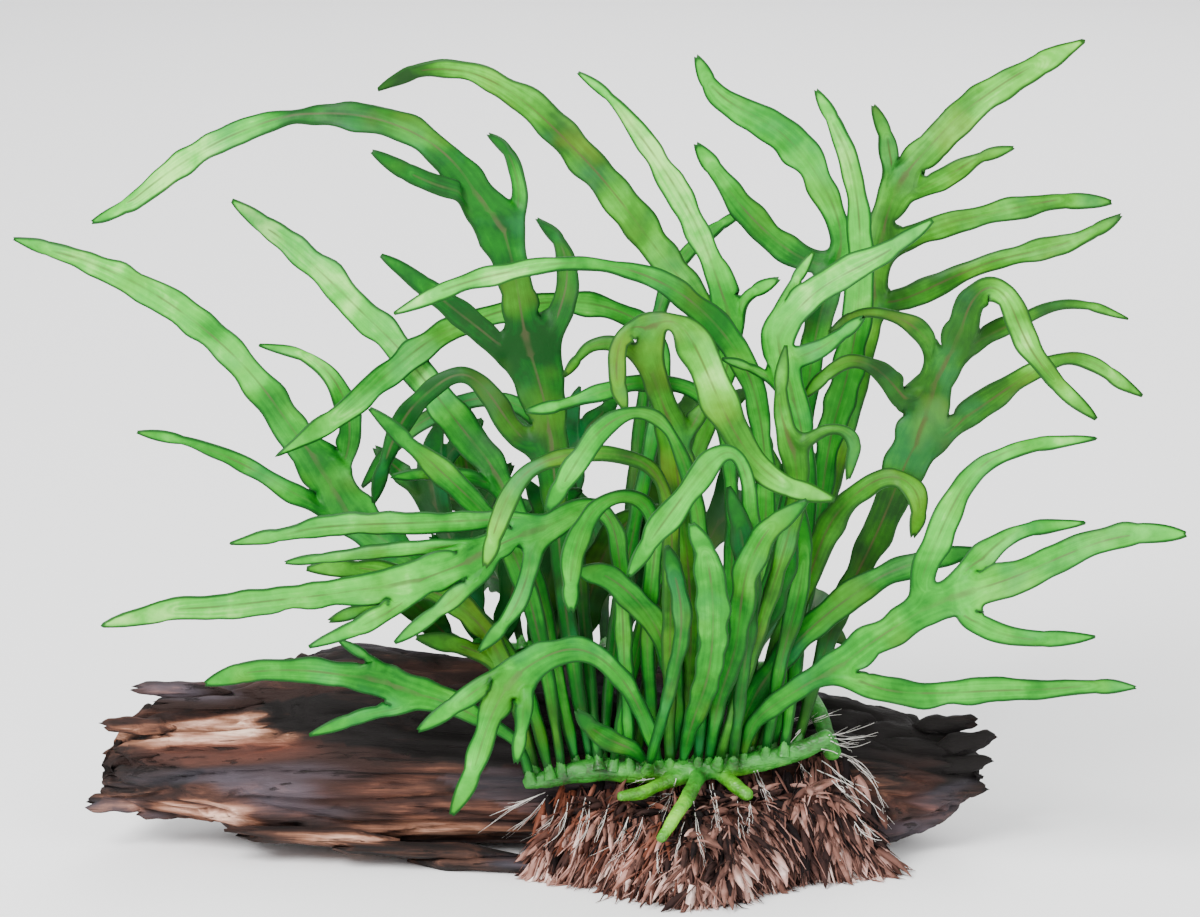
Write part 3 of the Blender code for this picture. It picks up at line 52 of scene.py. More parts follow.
# The line of sight of the photograph: 15 degrees above level, from far enough for little perspective.
VIEW_ELEVATION = math.radians(15.0)
VIEW_DISTANCE = 1.125
VIEW_HEIGHT = 0.0959
LENS_MM = 135.0
SENSOR_MM = 36.0
VIEW_DIRECTION = Vector((0.0, math.cos(VIEW_ELEVATION), -math.sin(VIEW_ELEVATION)))
VIEW_UP = Vector((0.0, math.sin(VIEW_ELEVATION), math.cos(VIEW_ELEVATION)))
EYE = VIEW_UP * VIEW_HEIGHT - VIEW_DIRECTION * VIEW_DISTANCE


def as_seen(points):
    """Where points are seen, in millimetres across and up, for an array of points in metres."""
    sight = points - np.array(EYE)
    share = VIEW_DISTANCE / (sight @ np.array(VIEW_DIRECTION)) / MM
    return sight[:, 0] * share, VIEW_HEIGHT / MM + (sight @ np.array(VIEW_UP)) * share


def seen(across, up, back):
    """The point in metres that is seen at (across, up) and lies this far back, all in millimetres."""
    on_plane = Vector((across, 0.0, 0.0)) * MM + VIEW_UP * up * MM
    share = (back * MM - EYE.y) / (on_plane.y - EYE.y)
    return EYE + (on_plane - EYE) * share


# Colours and nodes

MATH = "ShaderNodeMath"
NOISE = "ShaderNodeTexNoise"
MAP_RANGE = "ShaderNodeMapRange"
RAMP = "ShaderNodeValToRGB"
MAPPING = "ShaderNodeMapping"
MIX = "ShaderNodeMix"


def colour(code):
    """An sRGB hex colour as the linear colour that shaders take."""
    values = [int(code[place:place + 2], 16) / 255.0 for place in (1, 3, 5)]
    return tuple(v / 12.92 if v <= 0.04045 else ((v + 0.055) / 1.055) ** 2.4 for v in values) + (1.0,)


def per(size_mm):
    """How many times a pattern of this size in millimetres fits into a metre."""
    return 1.0 / (size_mm * MM)


def fill(node, **given):
    """Sets a node up: names in small letters are its settings, others and i0, i1 and so on its inputs."""
    for key, value in given.items():
        if key[1:].isdigit():
            socket = node.inputs[int(key[1:])]
        elif key.islower():
            setattr(node, key, value)
            continue
        else:
            socket = node.inputs[key.replace("_", " ")]
        if isinstance(value, bpy.types.Node):
            value = next(output for output in value.outputs if output.enabled)
        if isinstance(value, bpy.types.NodeSocket):
            node.id_data.links.new(value, socket)
        else:
            socket.default_value = value
    return node


def add(tree, kind, **given):
    """A new node with its settings and links."""
    return fill(tree.nodes.new(kind), **given)


def with_stops(node, stops):
    """A colour ramp with its stops, each a place and a hex colour."""
    elements = node.color_ramp.elements
    while len(elements) < len(stops):
        elements.new(0.5)
    for element, (place, code) in zip(elements, stops):
        element.position = place
        element.color = colour(code)
    return node


def tinted(tree, base, tints):
    """The base colour with tints over it: where each one shows, how strongly, and its hex colour."""
    for place, strength, code in tints:
        amount = add(tree, MATH, operation="MULTIPLY", i0=place, i1=strength)
        base = add(tree, MIX, data_type="RGBA", i0=amount, i6=base, i7=colour(code))
    return base


def mottled(tree, value, patterns):
    """A value between 0 and 1 that each pattern, itself about 0.5, moves up and down by its amount."""
    total = add(tree, MATH, operation="SUBTRACT", i0=value, i1=sum(amount for _, amount in patterns) / 2.0)
    for pattern, amount in patterns:
        total = add(tree, MATH, operation="MULTIPLY_ADD", i0=pattern, i1=amount, i2=total)
    total.use_clamp = True
    return total


def new_material(name, *keys):
    """A material, its tree, its shader, the place on the object, and the point values that it reads."""
    material = bpy.data.materials.new(name)
    material.use_nodes = True
    tree = material.node_tree
    where = add(tree, "ShaderNodeTexCoord").outputs["Object"]
    values = [add(tree, "ShaderNodeAttribute", attribute_name=key).outputs["Fac"] for key in keys]
    return material, tree, tree.nodes["Principled BSDF"], where, *values


# Meshes


def merged(name):
    """A CAD node's loose triangles as one closed bmesh."""
    work = bmesh.new()
    work.from_mesh(nodes[name].data)
    bmesh.ops.remove_doubles(work, verts=work.verts[:], dist=MERGE)
    work.normal_update()
    return work


def quads_from(work, keep_seams):
    """Joins a bmesh's triangles in pairs wherever that can be done."""
    bmesh.ops.join_triangles(work, faces=work.faces[:], cmp_seam=keep_seams, angle_face_threshold=math.pi,
                             angle_shape_threshold=math.pi)


def mesh_of(work, name):
    """The mesh of a bmesh, which is freed."""
    mesh = bpy.data.meshes.new(name)
    work.to_mesh(mesh)
    work.free()
    return mesh


def placed(name, mesh):
    """An object of a mesh, in the scene."""
    thing = bpy.data.objects.new(name, mesh)
    bpy.context.scene.collection.objects.link(thing)
    return thing


def evaluated_copy(thing):
    """The mesh that an object's modifiers give, with the object removed."""
    bpy.context.view_layer.update()
    mesh = bpy.data.meshes.new_from_object(thing.evaluated_get(bpy.context.evaluated_depsgraph_get()))
    bpy.data.objects.remove(thing)
    return mesh


def refined(name, mesh, levels, boundary="ALL"):
    """A coarse mesh divided and made smooth."""
    cage = placed(name + "_cage", mesh)
    smooth = cage.modifiers.new("smooth", "SUBSURF")
    smooth.levels = levels
    smooth.render_levels = levels
    smooth.boundary_smooth = boundary
    return evaluated_copy(cage)


def rounded(name, cell_mm, smoothing):
    """A CAD node as one evenly divided, softened skin."""
    cage = placed(name + "_cage", mesh_of(merged(name), name + "_cage"))
    divide = cage.modifiers.new("divide", "REMESH")
    divide.mode = "VOXEL"
    divide.voxel_size = cell_mm * MM
    soften = cage.modifiers.new("soften", "SMOOTH")
    soften.factor = 0.5
    soften.iterations = smoothing
    return evaluated_copy(cage)


def values_of(data, key, width):
    """One kind of value, of width numbers, of each item of a mesh's data."""
    found = np.zeros(len(data) * width, np.float32)
    data.foreach_get(key, found)
    return found.reshape(-1, width).astype(np.float64)


def points_of(mesh):
    """A mesh's points and their normals as arrays."""
    return [values_of(mesh.vertices, key, 3) for key in ("co", "normal")]


def move_points(mesh, points):
    """Puts a mesh's points at their new places, none of them below the ground."""
    points[:, 2] = np.maximum(points[:, 2], 0.0)
    mesh.vertices.foreach_set("co", points.astype(np.float32).reshape(-1))


def clamped(values):
    """The values held between 0 and 1."""
    return np.clip(values, 0.0, 1.0)


def shifted(points, ways, amounts_mm):
    """Points moved along their ways, each by its own amount in millimetres."""
    return points + ways * (amounts_mm * MM)[:, None]


def set_values(mesh, **values):
    """Writes a number for each point of a mesh under each name."""
    for key, numbers in values.items():
        data = mesh.attributes.new(key, "FLOAT", "POINT").data
        data.foreach_set("value", np.asarray(numbers, np.float32))


def noise_at(points, shift):
    """Noise from -1 to 1 at each point."""
    return np.array([noise.noise(Vector(point) + Vector(shift)) for point in points])


def noise_field(points, size_mm, seed):
    """Noise at each point, with lumps of the given size."""
    return noise_at(points * per(size_mm), (seed, seed * 0.7, -seed))


def show(name, mesh, material, *replaced):
    """A finished mesh as a piece that rides on the root body."""
    thing = placed(name, mesh)
    mesh.materials.clear()
    mesh.materials.append(material)
    mesh.shade_smooth()
    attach(thing, "root")
    if replaced:
        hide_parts(*replaced)
    return thing


# Living leaf: a leathery, waxy skin, from pale to deep green by its tone attribute, which holds the frond's
# own green and painted light and shade, with watery mottling over it, a dark fine margin and a brown midrib
# as on the real fern. Its strokes are 11 mm long by the way along the leaf, and as wide as a fifth of the
# blade.

STROKES = (90.0, 5.0, 0.8)


def leaf_material(name, stops, margin_code, rib_code, far_side_shade_code, sunny_share):
    """A leaf's skin in one family of greens."""
    material, tree, shader, where, rib, along, half, margin, tone, side = new_material(
        name, "rib", "along", "half", "margin", "tone", "side")
    patches = add(tree, NOISE, Vector=where, Scale=per(11.0), Detail=3.0, Distortion=0.4)
    speckle = add(tree, NOISE, Vector=where, Scale=per(3.0), Detail=4.0, Roughness=0.65)
    fine = add(tree, NOISE, Vector=where, Scale=per(0.9), Detail=2.0, Roughness=0.55)
    blade = add(tree, "ShaderNodeCombineXYZ", X=along, Y=rib, Z=half)
    blade = add(tree, MAPPING, Vector=blade, Scale=STROKES)
    strokes = add(tree, NOISE, Vector=blade, Scale=1.0, Detail=3.0)
    sunny, bluish, broken = (
        add(tree, MAP_RANGE, interpolation_type="SMOOTHSTEP", i1=low, i2=high,
            i0=add(tree, NOISE, Vector=where, Scale=per(size), Detail=detail, Roughness=0.55))
        for size, detail, low, high in (
            (19.0, 2.0, 0.50, 0.72), (23.0, 3.0, 0.48, 0.30), (9.0, 2.0, 0.36, 0.62)))
    inwards = add(tree, MATH, operation="MULTIPLY", i0=rib, i1=half)
    from_rib = add(tree, MATH, operation="SUBTRACT", i0=half, i1=inwards)
    outer, outline, beside_rib, broad = (
        add(tree, MAP_RANGE, interpolation_type="SMOOTHSTEP", i0=distance, i1=low, i2=high)
        for distance, low, high in ((margin, 1.3, 0.2), (margin, 0.72, 0.30), (from_rib, 0.42, 0.10),
                                    (half, 1.3, 2.4)))
    deeper = add(tree, MATH, operation="MULTIPLY_ADD", i0=outer, i1=0.14, i2=tone)
    shade = mottled(tree, deeper, [(patches, 0.95), (speckle, 0.26), (strokes, 0.34)])
    # Painted shade: the side facing away from the camera is tinted deeper green.
    under = add(tree, MATH, operation="SUBTRACT", i0=1.0, i1=side)
    vein = add(tree, MATH, operation="MULTIPLY", i0=beside_rib, i1=broad)
    vein_strength = add(tree, MATH, operation="MULTIPLY_ADD", i0=broken, i1=0.5, i2=0.18)
    base = with_stops(add(tree, RAMP, i0=shade), stops)
    base = tinted(tree, base, [
        (sunny, sunny_share, "#7f9a12"), (bluish, 0.34, "#1f7a4a"), (under, 0.4, far_side_shade_code),
        (outline, 0.92, margin_code), (vein, vein_strength, rib_code)])
    rough = add(tree, MATH, operation="MULTIPLY_ADD", i0=speckle, i1=0.2, i2=0.42)
    height = add(tree, MATH, operation="MULTIPLY_ADD", i0=strokes, i1=1.5, i2=fine)
    bump = add(tree, "ShaderNodeBump", Height=height, Strength=0.35, Distance=0.12 * MM)
    fill(shader, Base_Color=base, Roughness=rough, Normal=bump, IOR=1.42, Specular_IOR_Level=0.25)
    return material


GREEN_STOPS = [(0.0, "#94e068"), (0.25, "#48b432"), (0.5, "#1f8a18"), (0.75, "#05600c"), (1.0, "#03400c")]
OLIVE_STOPS = [(0.0, "#96de66"), (0.25, "#56b22c"), (0.5, "#32820e"), (0.75, "#1c5608"), (1.0, "#0f3a08")]
leaf_green = leaf_material("leathery_leaf_green", GREEN_STOPS, "#06400c", "#4c4a30", "#1d6a24", 0.14)
leaf_olive = leaf_material("leathery_leaf_olive", OLIVE_STOPS, "#10420a", "#4a3f26", "#2f6c16", 0.26)


# Fronds: each is rebuilt from its CAD solid, as a thin curved sheet with a raised midrib and wavy margins.

SHEET_LEVELS = 3
TIP_CREASE = 0.1
TIP_REACH = 0.6 * MM
TIP_HALF_WIDTH = 3.0
TIP_TURN = 0.2
SAME_WAY = 1e-7
SAME_PLANE = 0.995
CAP_CORNER = 0.45
NEAR_FOOT = 4.0 * MM
# The midrib's strength where a fork softens it, and how much shorter a way counts off the midrib.
FORK_RIB = 0.6
OFF_RIB = 0.35


def tree_of(points):
    """A search tree over points."""
    found = KDTree(len(points))
    for index, point in enumerate(points):
        found.insert(point, index)
    found.balance()
    return found


rhizome_work = merged("rhizome")
rhizome_points = tree_of([vert.co.copy() for vert in rhizome_work.verts])
rhizome_work.free()


def turn_at(edge):
    """The cosine of the turn between an edge's two faces."""
    one, other = edge.link_faces
    return one.normal.dot(other.normal)


def foot_cap(work):
    """The two triangles that close the stalk's foot, which face the rhizome square on."""
    found = []
    for edge in work.edges:
        if turn_at(edge) < SAME_PLANE:
            continue
        border = [e for face in edge.link_faces for e in face.edges if e is not edge]
        if max(abs(turn_at(e)) for e in border) < CAP_CORNER:
            centre = (edge.verts[0].co + edge.verts[1].co) / 2.0
            found.append((rhizome_points.find(centre)[2], edge.index, list(edge.link_faces)))
    return min(found)[2]


def sheets_of(work):
    """The faces of the frond's upper and lower sheet, which meet along its sharp margin, and its foot.

    Both sheets grow from the foot. Each face joins the sheet that it meets most smoothly.
    """
    cap = foot_cap(work)
    foot = sum((vert.co for face in cap for vert in face.verts), Vector()) / 6.0
    beside = {face for edge in work.edges for face in edge.link_faces
              if face not in cap and any(near in cap for near in edge.link_faces)}
    beside = sorted(beside, key=lambda f: f.index)
    pairs = [(one, other) for one in beside for other in beside if one.index < other.index]
    first_pair = max(pairs, key=lambda pair: pair[0].normal.dot(pair[1].normal))
    parent = {face: face for face in work.faces}

    def head(face):
        while parent[face] is not face:
            face = parent[face]
        return face

    seeds = [first_pair, [face for face in beside if face not in first_pair]]
    for seed in seeds:
        parent[head(seed[1])] = head(seed[0])
    for edge in sorted(work.edges, key=lambda e: (-turn_at(e), e.index)):
        one, other = (head(face) for face in edge.link_faces)
        tops = {head(seeds[0][0]), head(seeds[1][0])}
        if one is other or {one, other} == tops or one in cap or other in cap:
            continue
        parent[other] = one
    tops = [head(seed[0]) for seed in seeds]
    sheets = [[face for face in work.faces if head(face) is top] for top in tops]
    sheets.sort(key=lambda sheet: sum(face.normal.dot(VIEW_DIRECTION) * face.calc_area() for face in sheet))
    return sheets[0], sheets[1], foot


feet = []


def verts_of(faces):
    """The points of these faces in order."""
    return sorted({vert for face in faces for vert in face.verts}, key=lambda v: v.index)


def middle_sheet(name):
    """The frond's middle sheet as a coarse mesh that knows each point's place on the leaf."""
    work = merged(name)
    upper, lower, foot = sheets_of(work)
    margin = set(verts_of(upper)) & set(verts_of(lower))
    partner = tree_of([vert.co.copy() for vert in verts_of(lower) if vert not in margin])
    sheet = bmesh.new()
    layers = sheet.verts.layers
    rib, along, half, crease, body = (layers.float.new(key)
                                      for key in ("rib", "along", "half", "crease_vert", "body"))
    outward = layers.float_vector.new("outward")
    made = {}
    for vert in verts_of(upper):
        place = vert.co if vert in margin else (vert.co + partner.find(vert.co)[0]) / 2.0
        made[vert] = sheet.verts.new(place)
        made[vert][rib] = 0.0 if vert in margin else 1.0
    for face in sorted(upper, key=lambda f: f.index):
        sheet.faces.new([made[vert] for vert in face.verts])
    work.free()
    spread_along(sheet, foot, rib, along, half, crease, body)
    near_foot = [vert for vert in sheet.verts if vert[rib] == 1.0 and (vert.co - foot).length > NEAR_FOOT]
    feet.append((foot, min(near_foot, key=lambda v: (v.co - foot).length).co.copy()))
    for vert in sheet.verts:
        if vert[rib] == 0.0:
            middles = [v.co for v in neighbours(vert) if v[rib] == 1.0]
            if middles:
                vert[outward] = (vert.co - min(middles, key=lambda co: (co - vert.co).length)).normalized()
    for edge in sheet.edges:
        edge.seam = edge.verts[0][rib] == edge.verts[1][rib] == 1.0
    soften_forks(sheet, rib)
    quads_from(sheet, True)
    return mesh_of(sheet, name + "_sheet")


def neighbours(vert):
    """The points that share an edge with this one."""
    return [edge.other_vert(vert) for edge in vert.link_edges]


def soften_forks(sheet, rib):
    """At each fork, keeps the midrib on the straighter way through and lets the other one fade in."""
    softened = []
    for face in sheet.faces:
        if len(face.verts) > 3 or any(vert[rib] < 1.0 for vert in face.verts):
            continue
        ways = []
        for side in face.verts:
            one, other = [vert for vert in face.verts if vert is not side]
            through_fork = (other.co - one.co).normalized()
            straight = 0.0
            for end, heading in ((one, -through_fork), (other, through_fork)):
                onward = [v for v in neighbours(end) if v[rib] == 1.0 and v not in face.verts]
                straight += max([(v.co - end.co).normalized().dot(heading) for v in onward], default=0.0)
            ways.append((straight, side.index, side))
        softened.append(max(ways)[2])
    for vert in softened:
        vert[rib] = FORK_RIB


def spread_along(sheet, foot, rib, along, half, crease, body):
    """Writes each point's way from the foot, the blade's half width there, and which points are tips."""
    start = min((v for v in sheet.verts if v[rib] == 1.0), key=lambda v: (v.co - foot).length)
    reached = {start: 0.0}
    queue = [start]
    while queue:
        queue.sort(key=lambda v: reached[v])
        vert = queue.pop(0)
        for edge in vert.link_edges:
            other = edge.other_vert(vert)
            way = reached[vert] + edge.calc_length() * (1.0 if other[rib] == 1.0 else OFF_RIB)
            if way + SAME_WAY < reached.get(other, math.inf):
                reached[other] = way
                queue.append(other)
    tips = []
    for vert in sheet.verts:
        vert[body] = 1.0
        vert[along] = reached.get(vert, 0.0)
        ends = neighbours(vert)
        across = [(v.co - vert.co).length for v in ends if v[rib] != vert[rib]]
        vert[half] = min(across) / MM if across else 1.0
        if vert[rib] == 0.0:
            ways = [(v.co - vert.co).normalized() for v in ends if v[rib] == 0.0]
            if len(ways) == 2 and ways[0].dot(ways[1]) > TIP_TURN:
                vert[crease] = TIP_CREASE
                vert[half] = TIP_HALF_WIDTH
                vert[body] = 0.0
                tips.append((vert, -(ways[0] + ways[1]).normalized()))
    for vert, onward in tips:
        vert.co += onward * TIP_REACH


# What repeats along a path, such as hairs, flakes and collars, is swept by one tree of geometry nodes.


def sweep_tree():
    """Nodes that sweep a tube, round or flat to the viewer, along each path and join it to a skin."""
    tree = bpy.data.node_groups.new("swept_tubes", "GeometryNodeTree")
    kinds = {"Paths": "Geometry", "Sides": "Int", "Flatness": "Float", "Facing": "Vector", "Skin": "Object",
             "Finish": "Material"}
    for title, kind in kinds.items():
        tree.interface.new_socket(title, in_out="INPUT", socket_type="NodeSocket" + kind)
    tree.interface.new_socket("Tubes", in_out="OUTPUT", socket_type="NodeSocketGeometry")
    given = add(tree, "NodeGroupInput").outputs
    tangent = add(tree, "GeometryNodeInputTangent")
    across = add(tree, "ShaderNodeVectorMath", operation="CROSS_PRODUCT", i0=tangent, i1=given["Facing"])
    curves = add(tree, "GeometryNodeMeshToCurve", Mesh=given["Paths"])
    curves = add(tree, "GeometryNodeSetCurveNormal", mode="FREE", Curve=curves, Normal=across)
    flat = add(tree, "ShaderNodeCombineXYZ", X=1.0, Y=given["Flatness"], Z=1.0)
    ring = add(tree, "GeometryNodeCurvePrimitiveCircle", Radius=1.0, Resolution=given["Sides"])
    ring = add(tree, "GeometryNodeTransform", Geometry=ring, Scale=flat)
    radius = add(tree, "GeometryNodeInputNamedAttribute", data_type="FLOAT", Name="thickness")
    tubes = add(tree, "GeometryNodeCurveToMesh", Curve=curves, Profile_Curve=ring, Scale=radius)
    fill(tubes, Fill_Caps=True)
    joined = add(tree, "GeometryNodeJoinGeometry", Geometry=tubes)
    fill(joined, Geometry=add(tree, "GeometryNodeObjectInfo", Object=given["Skin"]).outputs["Geometry"])
    whole = add(tree, "GeometryNodeRealizeInstances", Geometry=joined)
    whole = add(tree, "GeometryNodeSetMaterial", Geometry=whole, Material=given["Finish"])
    add(tree, "NodeGroupOutput", i0=whole)
    return tree


SWEEP = sweep_tree()


def swept(name, paths, finish, sides, flatness, skin=None):
    """A tapering tube along each path of (points, radii in mm, values to note), joined to a skin's mesh."""
    points = []
    edges = []
    values = {"thickness": []}
    for places, radii, notes in paths:
        edges += [(len(points) + step, len(points) + step + 1) for step in range(len(places) - 1)]
        points += places
        values["thickness"] += [radius * MM for radius in radii]
        for key, value in notes.items():
            values.setdefault(key, []).extend([value] * len(places))
    mesh = bpy.data.meshes.new(name + "_paths")
    mesh.from_pydata(points, edges, [])
    set_values(mesh, **values)
    thing = placed(name + "_paths", mesh)
    carrier = placed(name + "_skin", skin) if skin else None
    sweep = thing.modifiers.new("sweep", "NODES")
    sweep.node_group = SWEEP
    inputs = {"Sides": sides, "Flatness": flatness, "Facing": VIEW_DIRECTION, "Skin": carrier,
              "Finish": finish}
    for title, value in inputs.items():
        sweep[SWEEP.interface.items_tree[title].identifier] = value
    made = evaluated_copy(thing)
    if carrier:
        bpy.data.objects.remove(carrier)
    return made


# The waves of a frond's blade and margin: their sizes in millimetres and their reach in half widths or mm.
RIPPLE_SIZE = 13.0
RIPPLE = 0.34
FINE_RIPPLE_SIZE = 4.5
FINE_RIPPLE = 0.10
CUP = 0.10
OUTLINE_SIZE = 7.0
OUTLINE_DEPTH = 1.1
OUTLINE_HALF = 3.0
OUTLINE_SHARES = (0.2, 1.3)
LEAST_HALF = 0.3
TIP_WIDTH = 3.8
TIP_BLUNTNESS = 0.28
# Half widths in millimetres at which a round stalk starts to be a flat blade, and is one.
STALK_HALF = 1.4
BLADE_HALF = 2.6
STALK_DEPTH = 0.72
# Half the blade's thickness, how much thicker it is by the midrib, and the midrib's half width and height.
SKIN = 0.15
SKIN_BY_RIB = 0.05
RIDGE_HALF = 0.65
RIDGE_ABOVE = -0.09
RIDGE_BELOW = 0.42
# Painted shade: deeper towards the foot of each frond, and deeper low down and far back in the clump.
FOOT_REACH = 0.055
FOOT_SHADE_TONE = 0.8
FOOT_SHADE = 0.6
MOOD = 0.05
CLUMP_SHADE = 0.38
CLUMP_TOP = 112.0
CLUMP_FADE = 40.0
CLUMP_FRONT = -14.0
CLUMP_DEPTH = 34.0


def tone_at(name, across, up):
    """How dark the leaf is at each point, its own green with painted light and shade: its base tone, then
    soft spots of another tone.
    """
    base, *spots = TONES.get(name, [REAR_SHADE_TONE])
    tone = np.full(len(across), base)
    for spot_across, spot_up, radius, amount in spots:
        weight = np.exp(-((across - spot_across) ** 2 + (up - spot_up) ** 2) / radius**2)
        tone += (amount - tone) * weight
    return tone


def frond(name, seed):
    """A frond's leaf: the middle sheet made smooth, rippled, and given its thickness and midrib."""
    kind = name.removeprefix("frond_")
    mesh = refined(name, middle_sheet(name), SHEET_LEVELS, "PRESERVE_CORNERS")
    points, normals = points_of(mesh)
    rib, along, half, body = (values_of(mesh.attributes[key].data, "value", 1)[:, 0]
                              for key in ("rib", "along", "half", "body"))
    outward = values_of(mesh.attributes["outward"].data, "vector", 3)
    faces = np.array([face.vertices[:] for face in mesh.polygons])
    bpy.data.meshes.remove(mesh)
    rib = clamped(rib)
    body = clamped(body)
    half = np.maximum(half, LEAST_HALF)
    outwards = 1.0 - rib
    wander = noise_field(points, OUTLINE_SIZE, seed + 9.0) * OUTLINE_DEPTH
    wander *= np.clip(half / OUTLINE_HALF, *OUTLINE_SHARES)
    blunt = TIP_WIDTH * (body**TIP_BLUNTNESS - body)
    points = shifted(points, outward, (wander + blunt) * outwards)
    blade = clamped((half - STALK_HALF) / (BLADE_HALF - STALK_HALF))
    ripple = RIPPLE * noise_field(points, RIPPLE_SIZE, seed)
    ripple += FINE_RIPPLE * noise_field(points, FINE_RIPPLE_SIZE, seed + 5.0)
    cup = CUP if seed % 2 else -CUP
    points = shifted(points, normals, (ripple * outwards**1.5 + cup * outwards**2) * half * blade)
    away = outwards * half
    skin = SKIN + SKIN_BY_RIB * rib
    ridge = np.exp(-((away / RIDGE_HALF) ** 2))
    stalk = np.sqrt(np.clip(half**2 - away**2, 0.02, None)) * STALK_DEPTH
    above, below = (stalk + (skin + height * ridge - stalk) * blade
                    for height in (RIDGE_ABOVE, RIDGE_BELOW))
    count = len(points)
    edge = margin_edges(faces)
    sides = np.concatenate([faces, faces[:, ::-1] + count])
    rim = np.stack([edge[:, 1], edge[:, 0], edge[:, 0] + count, edge[:, 1] + count], axis=1)
    both = np.concatenate([shifted(points, normals, above), shifted(points, normals, -below)])
    leaf = bpy.data.meshes.new(name + "_leaf")
    leaf.from_pydata(both.tolist(), [], np.concatenate([sides, rim]).tolist())
    rim_tree = tree_of(np.concatenate([points[edge[:, 0]], points[edge].mean(axis=1)]))
    margin = np.array([rim_tree.find(point)[2] for point in points]) / MM
    across, up = as_seen(points)
    tone = tone_at(kind, across, up)
    # Painted shade: darker near each frond's foot, then low down and far back in the clump.
    tone += (FOOT_SHADE_TONE - tone) * clamped(1.0 - along / FOOT_REACH) * FOOT_SHADE
    behind = clamped((points[:, 1] / MM - CLUMP_FRONT) / CLUMP_DEPTH)
    tone += MOOD + CLUMP_SHADE * behind * clamped((CLUMP_TOP - up) / CLUMP_FADE)
    values = {"rib": rib, "along": along, "half": half, "tone": tone, "margin": margin}
    values = {key: np.tile(found, 2) for key, found in values.items()}
    set_values(leaf, side=np.repeat([1.0, 0.0], count), **values)
    return show(name + "_leaf", leaf, leaf_olive if kind in OLIVE else leaf_green, name)


def margin_edges(faces):
    """The edges that only one face has, in that face's order."""
    ends = np.concatenate([np.stack([faces[:, k], faces[:, (k + 1) % 4]], axis=1) for k in range(4)])
    _, index, found = np.unique(np.sort(ends, axis=1), axis=0, return_inverse=True, return_counts=True)
    return ends[found[index.reshape(-1)] == 1]


# How dark each frond is, from 0 pale to 1 deep, its own green with painted light and shade on lit and
# shaded curls: its main tone, then soft spots (across, up, radius, tone).
TONES = {
    "tall_left": [0.8, (-102, 165, 32, 0.04), (-72, 182, 9, 0.8), (-43, 179, 12, 0.62), (-20, 120, 14, 0.9),
        (-26, 140, 12, 0.84), (-14, 166, 7, 0.1), (-54, 152, 12, 0.55), (-9, 143, 7, 0.8)],
    "left_pale": [0.12, (-60, 130, 8, 0.3), (-30, 95, 16, 0.5)], "left_short": [0.45],
    "far_left": [0.18, (-97, 127.6, 4, 0.62), (-80.7, 110.8, 5, 0.7), (-71, 95, 6, 0.75), (-66, 84, 9, 0.5),
        (-62, 106, 7, 0.62), (-75, 122, 7, 0.12), (-45, 66, 14, 0.6)],
    "long_arch": [0.32, (-70, 102, 14, 0.16)], "behind_arch": [0.5, (-52, 95, 9, 0.35)],
    "wide_left": [0.24, (-24, 74, 9, 0.42), (-110, 56, 18, 0.12)], "under_left": [0.42, (-60, 68, 9, 0.2)],
    "front_drooping": [0.26, (-34, 16, 10, 0.14), (-5, 46, 9, 0.42)],
    "along_log": [0.26, (-45, 36, 8, 0.4)], "front_short": [0.42],
    "central_olive": [0.5, (25, 98, 16, 0.72), (32, 118, 13, 0.14), (50, 92, 12, 0.16), (12, 112, 9, 0.4)],
    "hanging_lobe": [0.52, (-25, 78, 12, 0.2)], "narrow_arch": [0.42, (-8, 90, 10, 0.24)],
    "small_arch": [0.34, (-7, 64, 9, 0.2)], "level": [0.36, (-10, 110, 9, 0.22)], "straight_pale": [0.22],
    "top_arch": [0.12, (22, 136, 20, 0.75), (-2, 144, 10, 0.45)],
    "top_olive": [0.3, (-9.8, 176, 6, 0.75), (-2, 167, 7, 0.7), (8, 152, 7, 0.55), (-48, 191, 9, 0.95)],
    "top_pale": [0.1, (27, 130, 18, 0.35)], "behind_top": [0.35],
    "central_pale": [0.14, (24, 34, 13, 0.42)], "leaning_pale": [0.3],
    "leaning_dark": [0.26, (30, 42, 16, 0.55)], "edged_dark": [0.8], "shadow_lobe": [0.6],
    "upper_middle": [0.36, (52, 136, 14, 0.85), (39, 151, 10, 0.66), (42, 181, 7, 0.5), (30, 167, 7, 0.3)],
    "upper_right": [0.4, (112, 192, 14, 0.16), (112, 176, 9, 0.15), (75, 150, 12, 0.55), (80, 140, 8, 0.7)],
    "pale_right": [0.14, (50, 90, 22, 0.5)], "upright_pale": [0.12, (58, 110, 16, 0.3), (52, 70, 22, 0.6)],
    "right_olive": [0.64, (80, 108, 10, 0.75), (87.6, 126.3, 3, 0.98), (92, 135.8, 5, 0.88),
        (108, 116.7, 4, 0.98), (69.8, 118.6, 4, 0.95), (110.6, 132.6, 3, 0.9), (103, 137, 5, 0.1),
        (107, 123, 7, 0.08), (118, 111, 8, 0.1), (127, 133, 8, 0.14), (128, 117, 7, 0.14),
        (56, 116, 6, 0.1)], "big_right": [0.18, (52, 40, 13, 0.42), (80, 58, 8, 0.34)],
    "right_behind": [0.42], "olive_hook": [0.4, (77, 86, 7, 0.2)], "small_hook": [0.3, (47, 98, 7, 0.5)],
    "narrow_spear": [0.3], "inner_dark": [0.7], "inner_2": [0.5], "inner_4": [0.3], "inner_7": [0.5],
    "inner_8": [0.06], "rear_2": [0.4], "rear_4": [0.3], "rear_7": [0.34], "rear_9": [0.34],
}
# Painted shade: the inner and rear fronds, which have no listed tone, are this deep.
REAR_SHADE_TONE = 0.74
